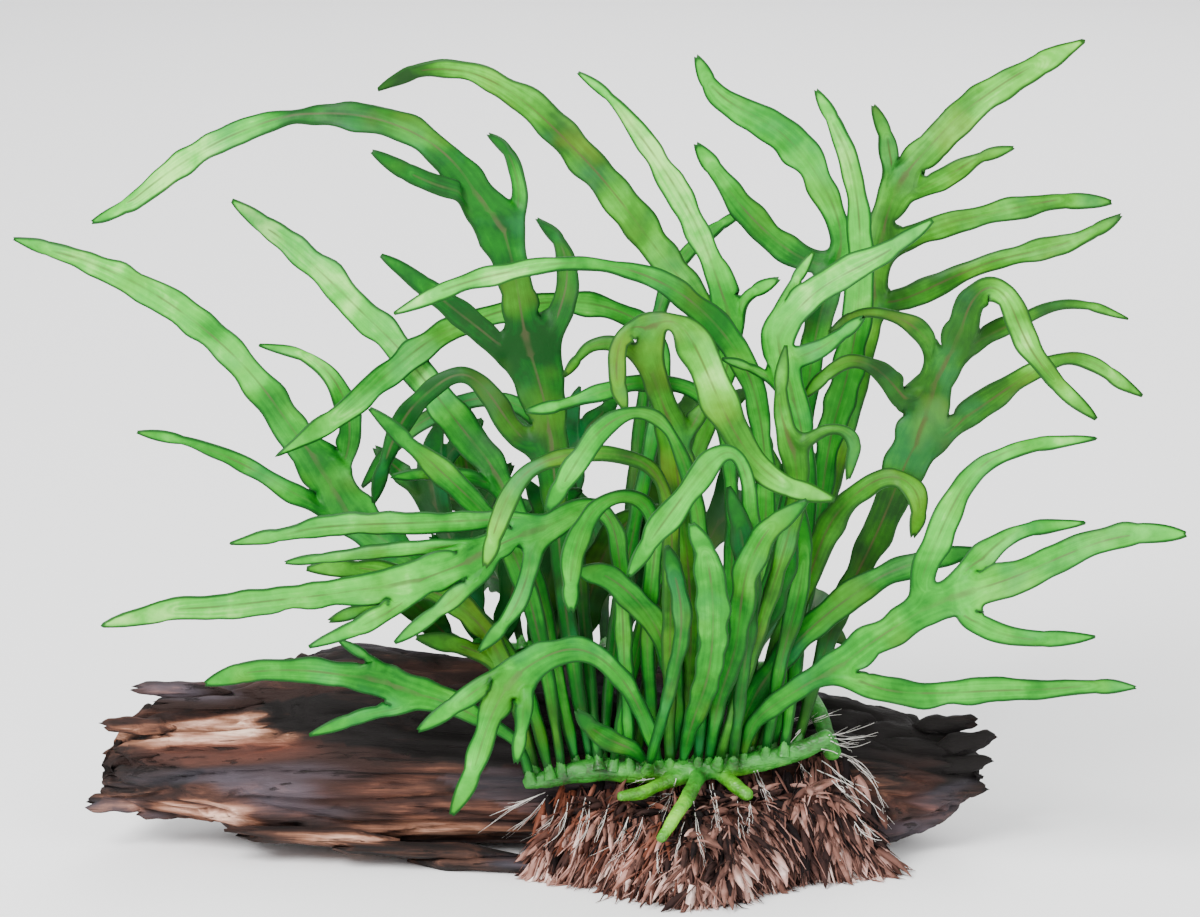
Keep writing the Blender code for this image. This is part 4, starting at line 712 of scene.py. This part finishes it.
# The fronds of the browner green.
OLIVE = {"central_olive", "hanging_lobe", "inner_4", "inner_8", "olive_hook", "rear_2", "rear_5", "rear_8",
         "right_olive", "small_hook", "top_olive", "under_left", "upper_right"}

for order, frond_name in enumerate(FRONDS):
    frond(frond_name, order)


# Driftwood: one old log, its soft wood worn away between long hard folds, its ends split into strips.

WOOD_LEVELS = 3
# How deep the grooves are and how dark their painted shade is, what is worn off all over, and the height
# below which that fades out.
GROOVE_DEPTH = 2.2
GROOVE_SHADE = 0.42
WORN_OFF = 0.7
FLAT_BELOW = 4.0

# Strips that stand off the log, as (across, up, back) of their root and tip, half width, half thickness.
SPLINTERS = [
    ((-92, 37.5, -6), (-117.5, 38.6, -5), 2.2, 1.6), ((-84, 35, -9), (-112, 34.6, -9.5), 1.7, 1.3),
    ((-106, 28.5, -10), (-125.5, 29.5, -8), 2.4, 1.5), ((-104, 24.5, -11.5), (-121.5, 22.5, -10), 2.6, 1.5),
    ((-102, 17.5, -11), (-121, 17, -9), 2.8, 1.6), ((-106, 11, -9), (-129, 9.6, -8), 3, 1.5),
    ((-98, 8.5, -9), (-117, 7, -7), 2.2, 1.4), ((-110, 20, 2), (-124, 21, 4), 3.4, 2.2),
    ((-50, 0.5, -20), (-93.5, 2.4, -16), 2.6, 4.5), ((-20, -3.4, -20.5), (-70, -0.8, -18), 2.2, 6),
    ((-48, -4.6, -20), (-8, -6.2, -22), 2.2, 6.5), ((84, 24, -11), (99.5, 26.5, -7), 2.6, 1.5),
    ((82, 18.5, -12), (98.5, 20.5, -8), 2.4, 1.5), ((80, 13, -12.5), (97, 13.5, -8), 2.6, 1.6),
    ((78, 29, -6), (94, 30, -3), 2.4, 1.6),
]

# How far a strip begins inside the log in millimetres, its sides and rings, and how its end is torn.
ROOT_SUNK = 5.0
STRIP_SIDES = 10
STRIP_STEPS = 22
STRIP_TEAR = (-0.2, 0.04)
STRIP_ROUGHNESS = 0.28

# Patches of colour on the wood as seen, the dark ones partly painted shadow: across, up, half length, half
# height, slope and strength.
LIGHT_PATCHES = [
    (-97, 28.5, 21, 4.8, 0.03, 0.6), (-97, 7, 10, 2.4, -0.15, 0.62), (-118, 9, 7, 2.6, 0, 0.42),
    (-66, 0.5, 16, 1.6, -0.05, 0.42), (-32, 3, 20, 3, -0.08, 0.36), (-45, 14, 14, 7, 0.1, 0.3),
    (-106, 38.4, 11, 1.8, 0, 0.3), (76, 12, 7, 7, 0, 0.14), (93, 24, 6, 2, 0.2, 0.3),
]
# Dark patches: partly the wood's own dark streaks, partly painted shadow on the top of the log.
DARK_AND_SHADOW_PATCHES = [
    (-90, 35.5, 26, 3, 0.02, 0.45), (-66, 30, 14, 6, -0.05, 0.42), (-84, 17.6, 30, 2.6, 0.05, 0.4),
    (-113, 31, 8, 1.6, 0.2, 0.35), (-25, 30, 22, 10, 0, 0.32), (-50, 22, 30, 3.6, 0.06, 0.22),
    (88, 20, 9, 8, 0, 0.34), (-76, 4.2, 16, 1.2, -0.05, 0.28), (30, 34, 60, 8, 0, 0.3),
    (-62, 46, 26, 5, 0.1, 0.34), (-10, 26, 26, 14, 0, 0.34), (78, 26, 26, 9, -0.1, 0.36),
    (-113, 20, 6, 2, 0, 0.35), (-80, 0.4, 14, 1.6, -0.05, 0.3), (-20, 2, 16, 3, -0.1, 0.22),
]
RED_PATCHES = [
    (-93, 22.5, 22, 2.8, 0.05, 0.85), (-60, 11, 22, 8, 0, 0.25), (77, 12, 6, 8, 0, 0.5),
    (-30, 8, 24, 4, 0, 0.35),
]
COOL_PATCHES = [
    (-106, 38.4, 14, 2.2, 0, 1), (-80, 11, 13, 4.5, -0.1, 0.75), (-90, 17, 24, 2.2, 0.05, 0.5),
    (-14, -5, 14, 2, -0.05, 0.8), (74, 2, 10, 3, 0.2, 0.5), (86, 10, 10, 4, 0.3, 0.4),
    (-120, 8, 8, 3, 0, 0.6),
]


WOOD_STOPS = [(0.0, "#0e0908"), (0.22, "#20130f"), (0.42, "#452c22"), (0.62, "#7c5440"), (0.82, "#b58a75"),
              (1.0, "#e2c2ac")]


def patches_at(patches, across, up):
    """The strength of soft-edged, slanting patches at each place as seen."""
    total = np.zeros(len(across))
    for at_across, at_up, half_length, half_height, slope, amount in patches:
        along = across - at_across
        beside = up - at_up - slope * along
        total += amount * np.exp(-((along / half_length) ** 4) - (beside / half_height) ** 4)
    return total


def grain(points, length_mm, width_mm, seed):
    """Noise at each point, running long along the log."""
    return noise_at(points / MM / [length_mm, width_mm, width_mm], (seed, seed * 1.3, -seed))


def grooves(points):
    """How deep in a narrow crevice along the grain each point is, from 0 to 1."""
    wide = clamped(1.0 - 7.0 * np.abs(grain(points, 85.0, 8.0, 23.0)))
    narrow = clamped(1.0 - 6.0 * np.abs(grain(points, 50.0, 4.0, 29.0)))
    return np.maximum(wide, 0.7 * narrow)


def strip(work, root, tip, half_width, half_thick, seed):
    """A splinter: a flat, rough, tapering strip from inside the log to its torn tip."""
    begin = seen(root[0], root[1], root[2] + ROOT_SUNK)
    end = seen(*tip)
    along = (end - begin).normalized()
    wide = along.cross(VIEW_DIRECTION).normalized()
    thick = along.cross(wide)
    chance = random.Random(seed)
    torn = [chance.uniform(*STRIP_TEAR) for _ in range(STRIP_SIDES)]
    turns = [2.0 * math.pi * side / STRIP_SIDES for side in range(STRIP_SIDES)]
    rings = []
    for step in range(STRIP_STEPS + 1):
        share = step / STRIP_STEPS
        size = (1.0 - 0.3 * share**2) * min(1.0, 0.15 + share * 3.5)
        size *= math.sqrt(min(1.0, (1.03 - share) * 9.0))
        rings.append([])
        for turn, tear in zip(turns, torn):
            x, y = math.cos(turn), math.sin(turn)
            rough = 1.0 + STRIP_ROUGHNESS * noise.noise(Vector((share * 5.0, x * 1.6, y * 1.6 + seed)))
            place = begin.lerp(end, share * (1.0 + tear * share**3))
            place += (wide * (x * half_width) + thick * (y * half_thick)) * (size * rough * MM)
            place.z = max(place.z, 0.0)
            rings[-1].append(work.verts.new(place))
    for ring, onward in zip(rings, rings[1:]):
        for side in range(STRIP_SIDES):
            work.faces.new((ring[side - 1], ring[side], onward[side], onward[side - 1]))
    work.faces.new(list(reversed(rings[0])))
    work.faces.new(rings[-1])


def wood_material():
    """Old driftwood: matte, dark heartwood under paler worn wood with painted shade and shadow over it, the
    grain along the log.
    """
    material, tree, shader, where, light, red, cool = new_material(
        "weathered_driftwood", "light", "red", "cool")
    wavy, fibres, crack_grain = (
        add(tree, NOISE, Scale=per(size), Detail=detail, Roughness=roughness, Distortion=distortion,
            Vector=add(tree, MAPPING, Vector=where, Scale=(along_grain, 1.0, 1.0)))
        for size, along_grain, detail, roughness, distortion in (
            (2.6, 0.10, 5.0, 0.62, 0.6), (0.7, 0.05, 3.0, 0.6, 0.0), (1.9, 0.045, 4.0, 0.6, 0.0)))
    blots = add(tree, NOISE, Vector=where, Scale=per(14.0), Detail=4.0, Roughness=0.6, Distortion=0.5)
    cracks = add(tree, MAP_RANGE, interpolation_type="SMOOTHSTEP", i0=crack_grain, i1=0.60, i2=0.68)
    shade = mottled(tree, light, [(wavy, 0.75), (fibres, 0.42), (blots, 0.45)])
    base = with_stops(add(tree, RAMP, i0=shade), WOOD_STOPS)
    red, cool = (add(tree, MATH, operation="MULTIPLY", use_clamp=True, i0=value,
                     i1=add(tree, MATH, operation="ADD", i0=pattern, i1=more))
                 for value, pattern, more in ((red, blots, 0.3), (cool, wavy, 0.2)))
    base = add(tree, MIX, data_type="RGBA", blend_type="OVERLAY", i0=red, i6=base, i7=colour("#7a4530"))
    base = tinted(tree, base, [(red, 0.45, "#6b4034"), (cool, 0.6, "#6a6470"), (cracks, 0.8, "#150c0a")])
    height = add(tree, MATH, operation="MULTIPLY_ADD", i0=wavy, i1=0.7,
                 i2=add(tree, MATH, operation="MULTIPLY", i0=fibres, i1=0.5))
    height = add(tree, MATH, operation="SUBTRACT", i0=height, i1=cracks)
    bump = add(tree, "ShaderNodeBump", Height=height, Strength=0.8, Distance=0.9 * MM)
    fill(shader, Base_Color=base, Normal=bump, Roughness=0.82, Specular_IOR_Level=0.3)
    return material


def driftwood():
    """The log's worn surface and its splinters, in place of the plain solid."""
    work = merged("driftwood")
    quads_from(work, False)
    mesh = refined("log", mesh_of(work, "log_cage"), WOOD_LEVELS)
    points, normals = points_of(mesh)
    lift = 1.3 * grain(points, 75.0, 12.0, 3.0) + 0.8 * (1.0 - 2.0 * np.abs(grain(points, 60.0, 6.5, 11.0)))
    lift += 0.45 * grain(points, 16.0, 2.2, 31.0) + 0.25 * grain(points, 7.0, 1.1, 41.0)
    lift -= GROOVE_DEPTH * grooves(points) + WORN_OFF
    move_points(mesh, shifted(points, normals, lift * clamped(points[:, 2] / MM / FLAT_BELOW)))
    work = bmesh.new()
    work.from_mesh(mesh)
    for number, (root, tip, half_width, half_thick) in enumerate(SPLINTERS):
        strip(work, root, tip, half_width, half_thick, number + 1)
    work.to_mesh(mesh)
    work.free()
    points, normals = points_of(mesh)
    across, up = as_seen(points)
    faces_viewer = clamped(-(normals @ np.array(VIEW_DIRECTION)) * 2.0 + 0.4)
    up += 1.5 * grain(points, 34.0, 8.0, 51.0) + 0.5 * grain(points, 9.0, 3.0, 53.0)
    across += 11.0 * grain(points, 22.0, 3.6, 57.0)
    bands = 0.32 + 0.16 * grain(points, 90.0, 11.0, 5.0)
    # The dark patches are partly painted shadow.
    pale, dark, red, cool = (patches_at(patches, across, up) * faces_viewer
                             for patches in (LIGHT_PATCHES, DARK_AND_SHADOW_PATCHES, RED_PATCHES, COOL_PATCHES))
    red += 0.25 * (grain(points, 60.0, 14.0, 9.0) > 0.2)
    cool += 0.3 * (grain(points, 70.0, 15.0, 15.0) > 0.3)
    # Painted shade darkens the grooves.
    light = bands + pale - dark - GROOVE_SHADE * grooves(points)
    set_values(mesh, light=light, red=red, cool=cool)
    return show("driftwood_worn", mesh, wood_material(), "driftwood")


# Rhizome: the creeping stem, smooth and green, with bright young stubs and a collar at each stalk's foot.

STUB_PATCHES = [(9, 12.6, 8, 4, 0.2, 1), (17.5, 6, 7, 9, 0, 1), (34.5, 13.5, 5, 4.5, 0, 1)]
# A collar's rings: how far up the stalk and how wide in millimetres.
COLLAR = [(-2.8, 1.75), (-1.6, 1.5), (-0.5, 1.22), (0.6, 1.04), (1.6, 0.92), (2.2, 0.6)]
COLLAR_SIDES = 10
COLLAR_FLATNESS = 0.85


def rhizome_material():
    """Living stem: smooth green skin with brown scale marks, brighter where it is young."""
    material, tree, shader, where, young = new_material("rhizome_skin", "young")
    blots = add(tree, NOISE, Vector=where, Scale=per(6.0), Detail=4.0, Roughness=0.6)
    long_way = add(tree, MAPPING, Vector=where, Scale=(0.6, 1.0, 1.0))
    scales = add(tree, "ShaderNodeTexVoronoi", feature="DISTANCE_TO_EDGE", Vector=long_way, Scale=per(1.11))
    old_green = with_stops(add(tree, RAMP, i0=blots),
                           [(0.3, "#0c4410"), (0.46, "#1f741c"), (0.6, "#33902c"), (0.75, "#58ac42")])
    young_green = with_stops(add(tree, RAMP, i0=blots),
                             [(0.3, "#2a7406"), (0.5, "#48990d"), (0.7, "#79c424")])
    base = add(tree, MIX, data_type="RGBA", i0=young, i6=old_green, i7=young_green)
    rims, dull = (add(tree, MAP_RANGE, interpolation_type="SMOOTHSTEP", i0=pattern, i1=low, i2=high)
                  for pattern, low, high in ((scales, 0.10, 0.02), (blots, 0.52, 0.44)))
    marks = add(tree, MATH, operation="MULTIPLY", i0=rims, i1=dull)
    base = tinted(tree, base, [(marks, 0.45, "#3a2f1c")])
    height = add(tree, MATH, operation="MULTIPLY_ADD", i0=scales, i1=2.0, i2=blots)
    bump = add(tree, "ShaderNodeBump", Height=height, Strength=0.35, Distance=0.4 * MM)
    fill(shader, Base_Color=base, Normal=bump, Roughness=0.45, Subsurface_Weight=0.1,
         Subsurface_Radius=(0.3, 1.0, 0.2), Subsurface_Scale=1.0 * MM)
    return material


def rhizome():
    """The rhizome's skin and the collars of all stalks, in place of the plain solid."""
    mesh = rounded("rhizome", cell_mm=0.55, smoothing=8)
    points, normals = points_of(mesh)
    lumps = 0.3 + 0.4 * noise_field(points, 6.0, 3.0) + 0.12 * noise_field(points, 2.5, 8.0)
    move_points(mesh, shifted(points, normals, lumps))
    collars = []
    for foot, onward in feet:
        along = (onward - foot).normalized()
        places = [foot + along * (reach * MM) for reach, _ in COLLAR]
        collars.append((places, [radius for _, radius in COLLAR], {}))
    finish = rhizome_material()
    mesh = swept("rhizome", collars, finish, COLLAR_SIDES, COLLAR_FLATNESS, mesh)
    points = points_of(mesh)[0]
    young = clamped(patches_at(STUB_PATCHES, *as_seen(points)))
    set_values(mesh, young=young * (points[:, 1] < 0.0))
    return show("rhizome_skin", mesh, finish, "rhizome")


# Root mat: a dark felt of old roots under shaggy tufts of brown and pinkish hairs.

TUFTS = 900
CROWN_TUFTS = 170
# Each tuft's hairs, of which the first are flat flakes and the last is a long wisp. Sizes in millimetres.
TUFT_HAIRS = 5
FLAKES = 2
WISP = 4
TUFT_SPREAD = (1.1, 0.6, 1.0)
HAIR_LENGTHS = (4.5, 9.0)
HAIR_STEPS = 4
HAIR_SIDES = 3
HAIR_WIDTHS = (0.2, 0.28, 0.4)
FLAKE_WIDTHS = (0.8, 1.1, 1.5)
FLAKE_SHAPE = (0.7, 1.0, 0.95, 0.62, 0.12)
FLAKE_FLATNESS = 0.3
TUFT_SHADES = (-0.24, -0.1, 0.04, 0.16, 0.34)
TUFT_RUST = (0.0, 0.0, 0.15, 0.5)
RUST_WITHIN = 20.0
# The felt's furrows, where its fringe begins, where its middle is and how far out a tuft leans over.
FURROWS = (3.0, 4.0, 11.0)
FRINGE_TOP = 18.0
FRINGE_HEIGHT = 0.35 * MM
MAT_MIDDLE = 24.0
LEAN_OVER = 150.0
# How much each step of a hair turns down and sways on, and where tufts grow on the felt and the crown.
DROOP = 0.16
SWAY_ON = 0.10
TUFTED_SIDE = 0.35
TUFTS_ABOVE = 1.2 * MM
CROWN_NORMAL = Vector((0.0, -0.96, 0.28))
# The rhizome's lower edge as seen, above the mat, and the mat's own upper edge: across, then both heights.
CROWN = [(-13, 12, 6), (0, 15, 10), (12, 16.6, 12), (25, 16.8, 11), (40, 18.6, 12), (52, 21.6, 14),
         (60, 21, 10), (66, 13, 6)]


ROOT_STOPS = [(0.0, "#120a0b"), (0.25, "#37231f"), (0.5, "#7a5449"), (0.75, "#bf9488"), (1.0, "#f6e6de")]


def root_material():
    """Old root hair: matte and fibrous, from near black through brown to pinkish fawn at the fringe."""
    material, tree, shader, where, pale, rust = new_material("root_hair_brown", "pale", "rust")
    blots = add(tree, NOISE, Vector=where, Scale=per(7.0), Detail=4.0, Roughness=0.6)
    shade = mottled(tree, pale, [(blots, 0.8)])
    base = with_stops(add(tree, RAMP, i0=shade), ROOT_STOPS)
    base = tinted(tree, base, [(rust, 0.7, "#a5583a")])
    fill(shader, Base_Color=base, Roughness=0.9, Specular_IOR_Level=0.2)
    return material


def hanging_path(place, normal, length_mm, sway, spread):
    """A hair's way from the mat: out, then down, then along the ground."""
    down = Vector((0.0, 0.0, -1.0))
    heading = (down - normal * down.dot(normal) + normal * spread + sway).normalized()
    step = length_mm * MM / HAIR_STEPS
    path = [place.copy()]
    for _ in range(HAIR_STEPS):
        heading = (heading + down * DROOP + sway * SWAY_ON).normalized()
        onward = path[-1] + heading * step
        onward.z = max(onward.z, FRINGE_HEIGHT)
        path.append(onward)
    return path


def crown_starts(chance):
    """Places just under the rhizome, on the wood and the mat, from which the topmost tufts hang."""
    surfaces = [surface_of(nodes[name]) for name in ("driftwood", "root_mat")]
    found = []
    for _ in range(CROWN_TUFTS):
        place = chance.uniform(0.0, len(CROWN) - 1.001)
        near, far = CROWN[int(place)], CROWN[int(place) + 1]
        across, high, low = [one + (other - one) * (place % 1.0) for one, other in zip(near, far)]
        spot = laid_on(surfaces, across, chance.uniform(low, high))
        if spot:
            found.append((spot, CROWN_NORMAL))
    return found


def root_mat():
    """The felt and its tufts, in place of the plain solid."""
    mesh = rounded("root_mat", cell_mm=0.9, smoothing=3)
    points, normals = points_of(mesh)
    furrows = noise_at(points / MM / FURROWS, (0.0, 0.0, 0.0))
    lumps = 1.5 * furrows + 0.8 * noise_field(points, 3.0, 4.0) - 0.7
    move_points(mesh, shifted(points, normals, lumps * clamped(points[:, 2] / MM / 2.0)))
    set_values(mesh, pale=0.3 * clamped(furrows), rust=np.full(len(furrows), 0.1))
    work = bmesh.new()
    work.from_mesh(mesh)
    work.verts.ensure_lookup_table()
    work.normal_update()
    chance = random.Random(7)
    places = [vert for vert in work.verts
              if vert.normal.y < TUFTED_SIDE and vert.normal.z > -TUFTED_SIDE and vert.co.z > TUFTS_ABOVE]
    starts = [(vert.co.copy(), vert.normal.copy()) for vert in chance.sample(places, TUFTS)]
    starts += crown_starts(chance)
    work.free()
    flakes = []
    hairs = []
    for place, normal in starts:
        at = place.x / MM
        low = 1.0 - min(1.0, place.z / MM / FRINGE_TOP)
        outwards = (at - MAT_MIDDLE) / LEAN_OVER
        lean = Vector((outwards + chance.uniform(-0.35, 0.35), chance.uniform(-0.1, 0.1), 0.0))
        tuft_shade = 0.22 + 0.42 * low**1.5 + chance.choice(TUFT_SHADES)
        tuft_rust = chance.choice(TUFT_RUST) * (1.0 - low) * (at < RUST_WITHIN)
        for number in range(TUFT_HAIRS):
            root = place + Vector([chance.gauss(0.0, spread) for spread in TUFT_SPREAD]) * MM
            root.z = max(root.z, FRINGE_HEIGHT)
            sway = lean + Vector((chance.uniform(-0.25, 0.25), chance.uniform(-0.2, 0.1), 0.0))
            length = chance.uniform(*HAIR_LENGTHS) + 3.0 * low * chance.random()
            if number == WISP:
                length += 4.0 * low
                sway = sway * 1.8
            path = hanging_path(root - normal * (0.6 * MM), normal, length, sway, chance.uniform(0.12, 0.5))
            flake = number < FLAKES
            thick = chance.choice(FLAKE_WIDTHS if flake else HAIR_WIDTHS)
            radii = [thick * part for part in FLAKE_SHAPE]
            notes = {"pale": tuft_shade + chance.uniform(-0.14, 0.14), "rust": tuft_rust}
            (flakes if flake else hairs).append((path, radii, notes))
    finish = root_material()
    mesh = swept("root_flakes", flakes, finish, HAIR_SIDES, FLAKE_FLATNESS, mesh)
    mesh = swept("root_hairs", hairs, finish, HAIR_SIDES, 1.0, mesh)
    move_points(mesh, points_of(mesh)[0])
    return show("root_mat_shaggy", mesh, finish, "root_mat")


# Fine white root hairs, as (across, up) along each, over the mat and the wood behind it.

WHITE_HAIRS = [
    [(-13.6, 12.5), (-20, 9.5), (-30.4, 2.3)], [(-13, 11.8), (-18, 6), (-24.5, 1)],
    [(-15, 12), (-23, 8.5), (-27.5, 6.6)], [(-10.5, 10.5), (-13, 4), (-20, 0.2)],
    [(-8, 10), (-9.5, 3), (-14, -1)], [(-3.7, 11), (-5, 4), (-6.2, -1.8)],
    [(-2.5, 10), (-3.5, 2), (-7.5, -3)], [(2.2, 9.6), (0.6, 4), (-1, 0)], [(7, 6.2), (4, 0), (-2.6, -3.5)],
    [(11, 6.8), (7.5, -1), (2, -5.2)], [(13.6, 15.9), (10, 15.4), (6.5, 14.2)],
    [(18.5, 12.5), (15, 10.5), (12.2, 9)], [(19, 15.9), (17.4, 10.5), (15.6, 5)],
    [(21, 5), (19.8, 0.5), (18.5, -4)], [(14.4, -1.8), (14.3, -5), (14.5, -8)],
    [(23.5, 10.2), (24.3, 2), (26.5, -5.2)], [(28.1, 14.7), (29.2, 9), (29.8, 2.8)],
    [(27.2, 15), (28.6, 8), (29.4, 3.5)], [(34.4, 10.2), (34.6, 5.5), (35, 1)],
    [(37.5, 10.2), (37.3, 6), (36.9, 2.2)], [(38.4, 17.6), (40.6, 13), (42.4, 7.9)],
    [(39.2, 17.8), (41, 14), (42, 9.6)], [(49.6, 20), (51.5, 17.8), (53, 16.4)],
    [(42.9, 26.4), (46.5, 30), (52, 31.8)], [(47.8, 25), (52, 29.6), (58.3, 32.4)],
    [(49, 27), (53, 30.6), (60.5, 32)], [(57.2, 26.7), (62, 27.4), (69.1, 30)],
    [(57.6, 26), (63, 25.8), (69.4, 27.4)], [(57.6, 25.2), (62.5, 23.6), (67.5, 25)],
    [(55.5, 23.3), (64.6, 20.4), (69.7, 13.6)], [(56, 22.6), (63, 20.2), (67, 16.8), (70.5, 10), (72, 5.6)],
    [(54.3, 18.1), (63.4, 13.6), (69, 9), (73.7, 4.5)], [(55.5, 20.4), (62, 15.4), (68, 13)],
    [(57.8, 15.3), (63.4, 10.2), (66, 7.2)], [(59, 15.5), (61, 12), (65, 8.8)],
    [(64, 6.7), (67, 3.4), (69.7, 1)], [(63.5, 5), (66.5, 1.5), (70.4, 0.4)],
]
WHITE_HAIR_RADIUS = 0.13
WHITE_HAIR_TAPER = 0.7
WHITE_HAIR_LIFT = 0.7 * MM
WHITE_HAIR_STEPS = 14
WOBBLE = 0.12
BRANCHES = 4
BRANCH_SIZE = 0.55


def bowed(points, share):
    """A place on the smooth curve through a few (across, up) points."""
    place = share * (len(points) - 1)
    index = min(int(place), len(points) - 2)
    step = place - index
    nearby = [points[0], *points, points[-1]][index:index + 4]
    before, start, end, after = (np.array(point) for point in nearby)
    pull_in = (end - before) / 2.0
    pull_out = (after - start) / 2.0
    rise = end - start
    return (start + pull_in * step + (3.0 * rise - 2.0 * pull_in - pull_out) * step**2
            + (pull_in + pull_out - 2.0 * rise) * step**3)


def surface_of(thing):
    """An object's faces as a surface that lines of sight can be cast on."""
    mesh = thing.data
    return BVHTree.FromPolygons([v.co for v in mesh.vertices], [f.vertices for f in mesh.polygons])


def laid_on(surfaces, across, up):
    """The point just above the surface that is seen at this place, or nothing where there is none."""
    sight = (seen(across, up, 0.0) - EYE).normalized()
    hits = [surface.ray_cast(EYE, sight) for surface in surfaces]
    ranges = [hit[3] for hit in hits if hit[0] is not None]
    if not ranges:
        return None
    place = EYE + sight * (min(ranges) - WHITE_HAIR_LIFT)
    place.z = max(place.z, FRINGE_HEIGHT)
    return place


def white_hairs(carriers):
    """The white root hairs, each with finer branches, on the mat, the rhizome and the wood."""
    surfaces = [surface_of(thing) for thing in carriers]
    chance = random.Random(19)
    routes = []
    for points in WHITE_HAIRS:
        routes.append((points, 1.0))
        for _ in range(BRANCHES):
            begin = chance.uniform(0.05, 0.6)
            start = bowed(points, begin)
            end = bowed(points, min(1.0, begin + chance.uniform(0.3, 0.45)))
            end = [value + chance.uniform(-1.6, 1.6) for value in end]
            middle = [(one + other) / 2.0 + chance.uniform(-0.5, 0.5) for one, other in zip(start, end)]
            routes.append(([start, middle, end], BRANCH_SIZE))
    hairs = []
    for points, size in routes:
        path = []
        for index in range(WHITE_HAIR_STEPS + 1):
            across, up = bowed(points, index / WHITE_HAIR_STEPS)
            wobble = WOBBLE * math.sin(index * 0.9 + points[0][0])
            path.append(laid_on(surfaces, across + wobble, up + wobble * 0.6) or path[-1])
        path = path[:1] + [before * 0.25 + here * 0.5 + after * 0.25
                           for before, here, after in zip(path, path[1:], path[2:])] + path[-1:]
        radii = [WHITE_HAIR_RADIUS * size * (1.0 - WHITE_HAIR_TAPER * index / WHITE_HAIR_STEPS)
                 for index in range(WHITE_HAIR_STEPS + 1)]
        hairs.append((path, radii, {}))
    material, _, shader, _ = new_material("root_hair_white")
    fill(shader, Base_Color=colour("#f4efe8"), Roughness=0.7)
    mesh = swept("white_hairs", hairs, material, HAIR_SIDES, 1.0)
    move_points(mesh, points_of(mesh)[0])
    return show("root_hairs_white", mesh, material)


white_hairs([driftwood(), rhizome(), root_mat()])


# Floor, light and camera: metres, and each light's place, size and power in watts.

FLOOR_REACH = 6.0
LIT_PLACE = Vector((0.0, 0.0, 0.08))
LIGHTS = [("key", (-0.7, -0.9, 1.1), 0.7, 42.0), ("fill", (0.9, -0.8, 0.7), 0.9, 9.0),
          ("back", (0.2, 1.1, 0.9), 0.9, 10.0)]


def stage():
    """A plain pale floor, soft light from above and both sides, and the camera."""
    floor_mesh = bpy.data.meshes.new("floor")
    corners = [(x * FLOOR_REACH, y * FLOOR_REACH, 0.0) for x, y in ((-1, -1), (1, -1), (1, 1), (-1, 1))]
    floor_mesh.from_pydata(corners, [], [(0, 1, 2, 3)])
    floor = placed("floor", floor_mesh)
    paper, _, shader, _ = new_material("pale_floor")
    fill(shader, Base_Color=colour("#ffffff"), Roughness=0.9)
    floor_mesh.materials.append(paper)
    world = bpy.data.worlds.new("studio")
    bpy.context.scene.world = world
    world.use_nodes = True
    fill(world.node_tree.nodes["Background"], Color=colour("#fdfdff"), Strength=1.0)
    for name, place, size, power in LIGHTS:
        data = bpy.data.lights.new(name, "AREA")
        data.size = size
        data.energy = power
        light = placed(name, data)
        light.location = place
        light.rotation_euler = (LIT_PLACE - Vector(place)).to_track_quat("-Z", "Y").to_euler()
    lens = bpy.data.cameras.new("camera")
    lens.lens = LENS_MM
    lens.sensor_width = SENSOR_MM
    camera = placed("camera", lens)
    camera.location = EYE
    camera.rotation_euler = (math.radians(90.0) - VIEW_ELEVATION, 0.0, 0.0)
    bpy.context.scene.camera = camera


stage()
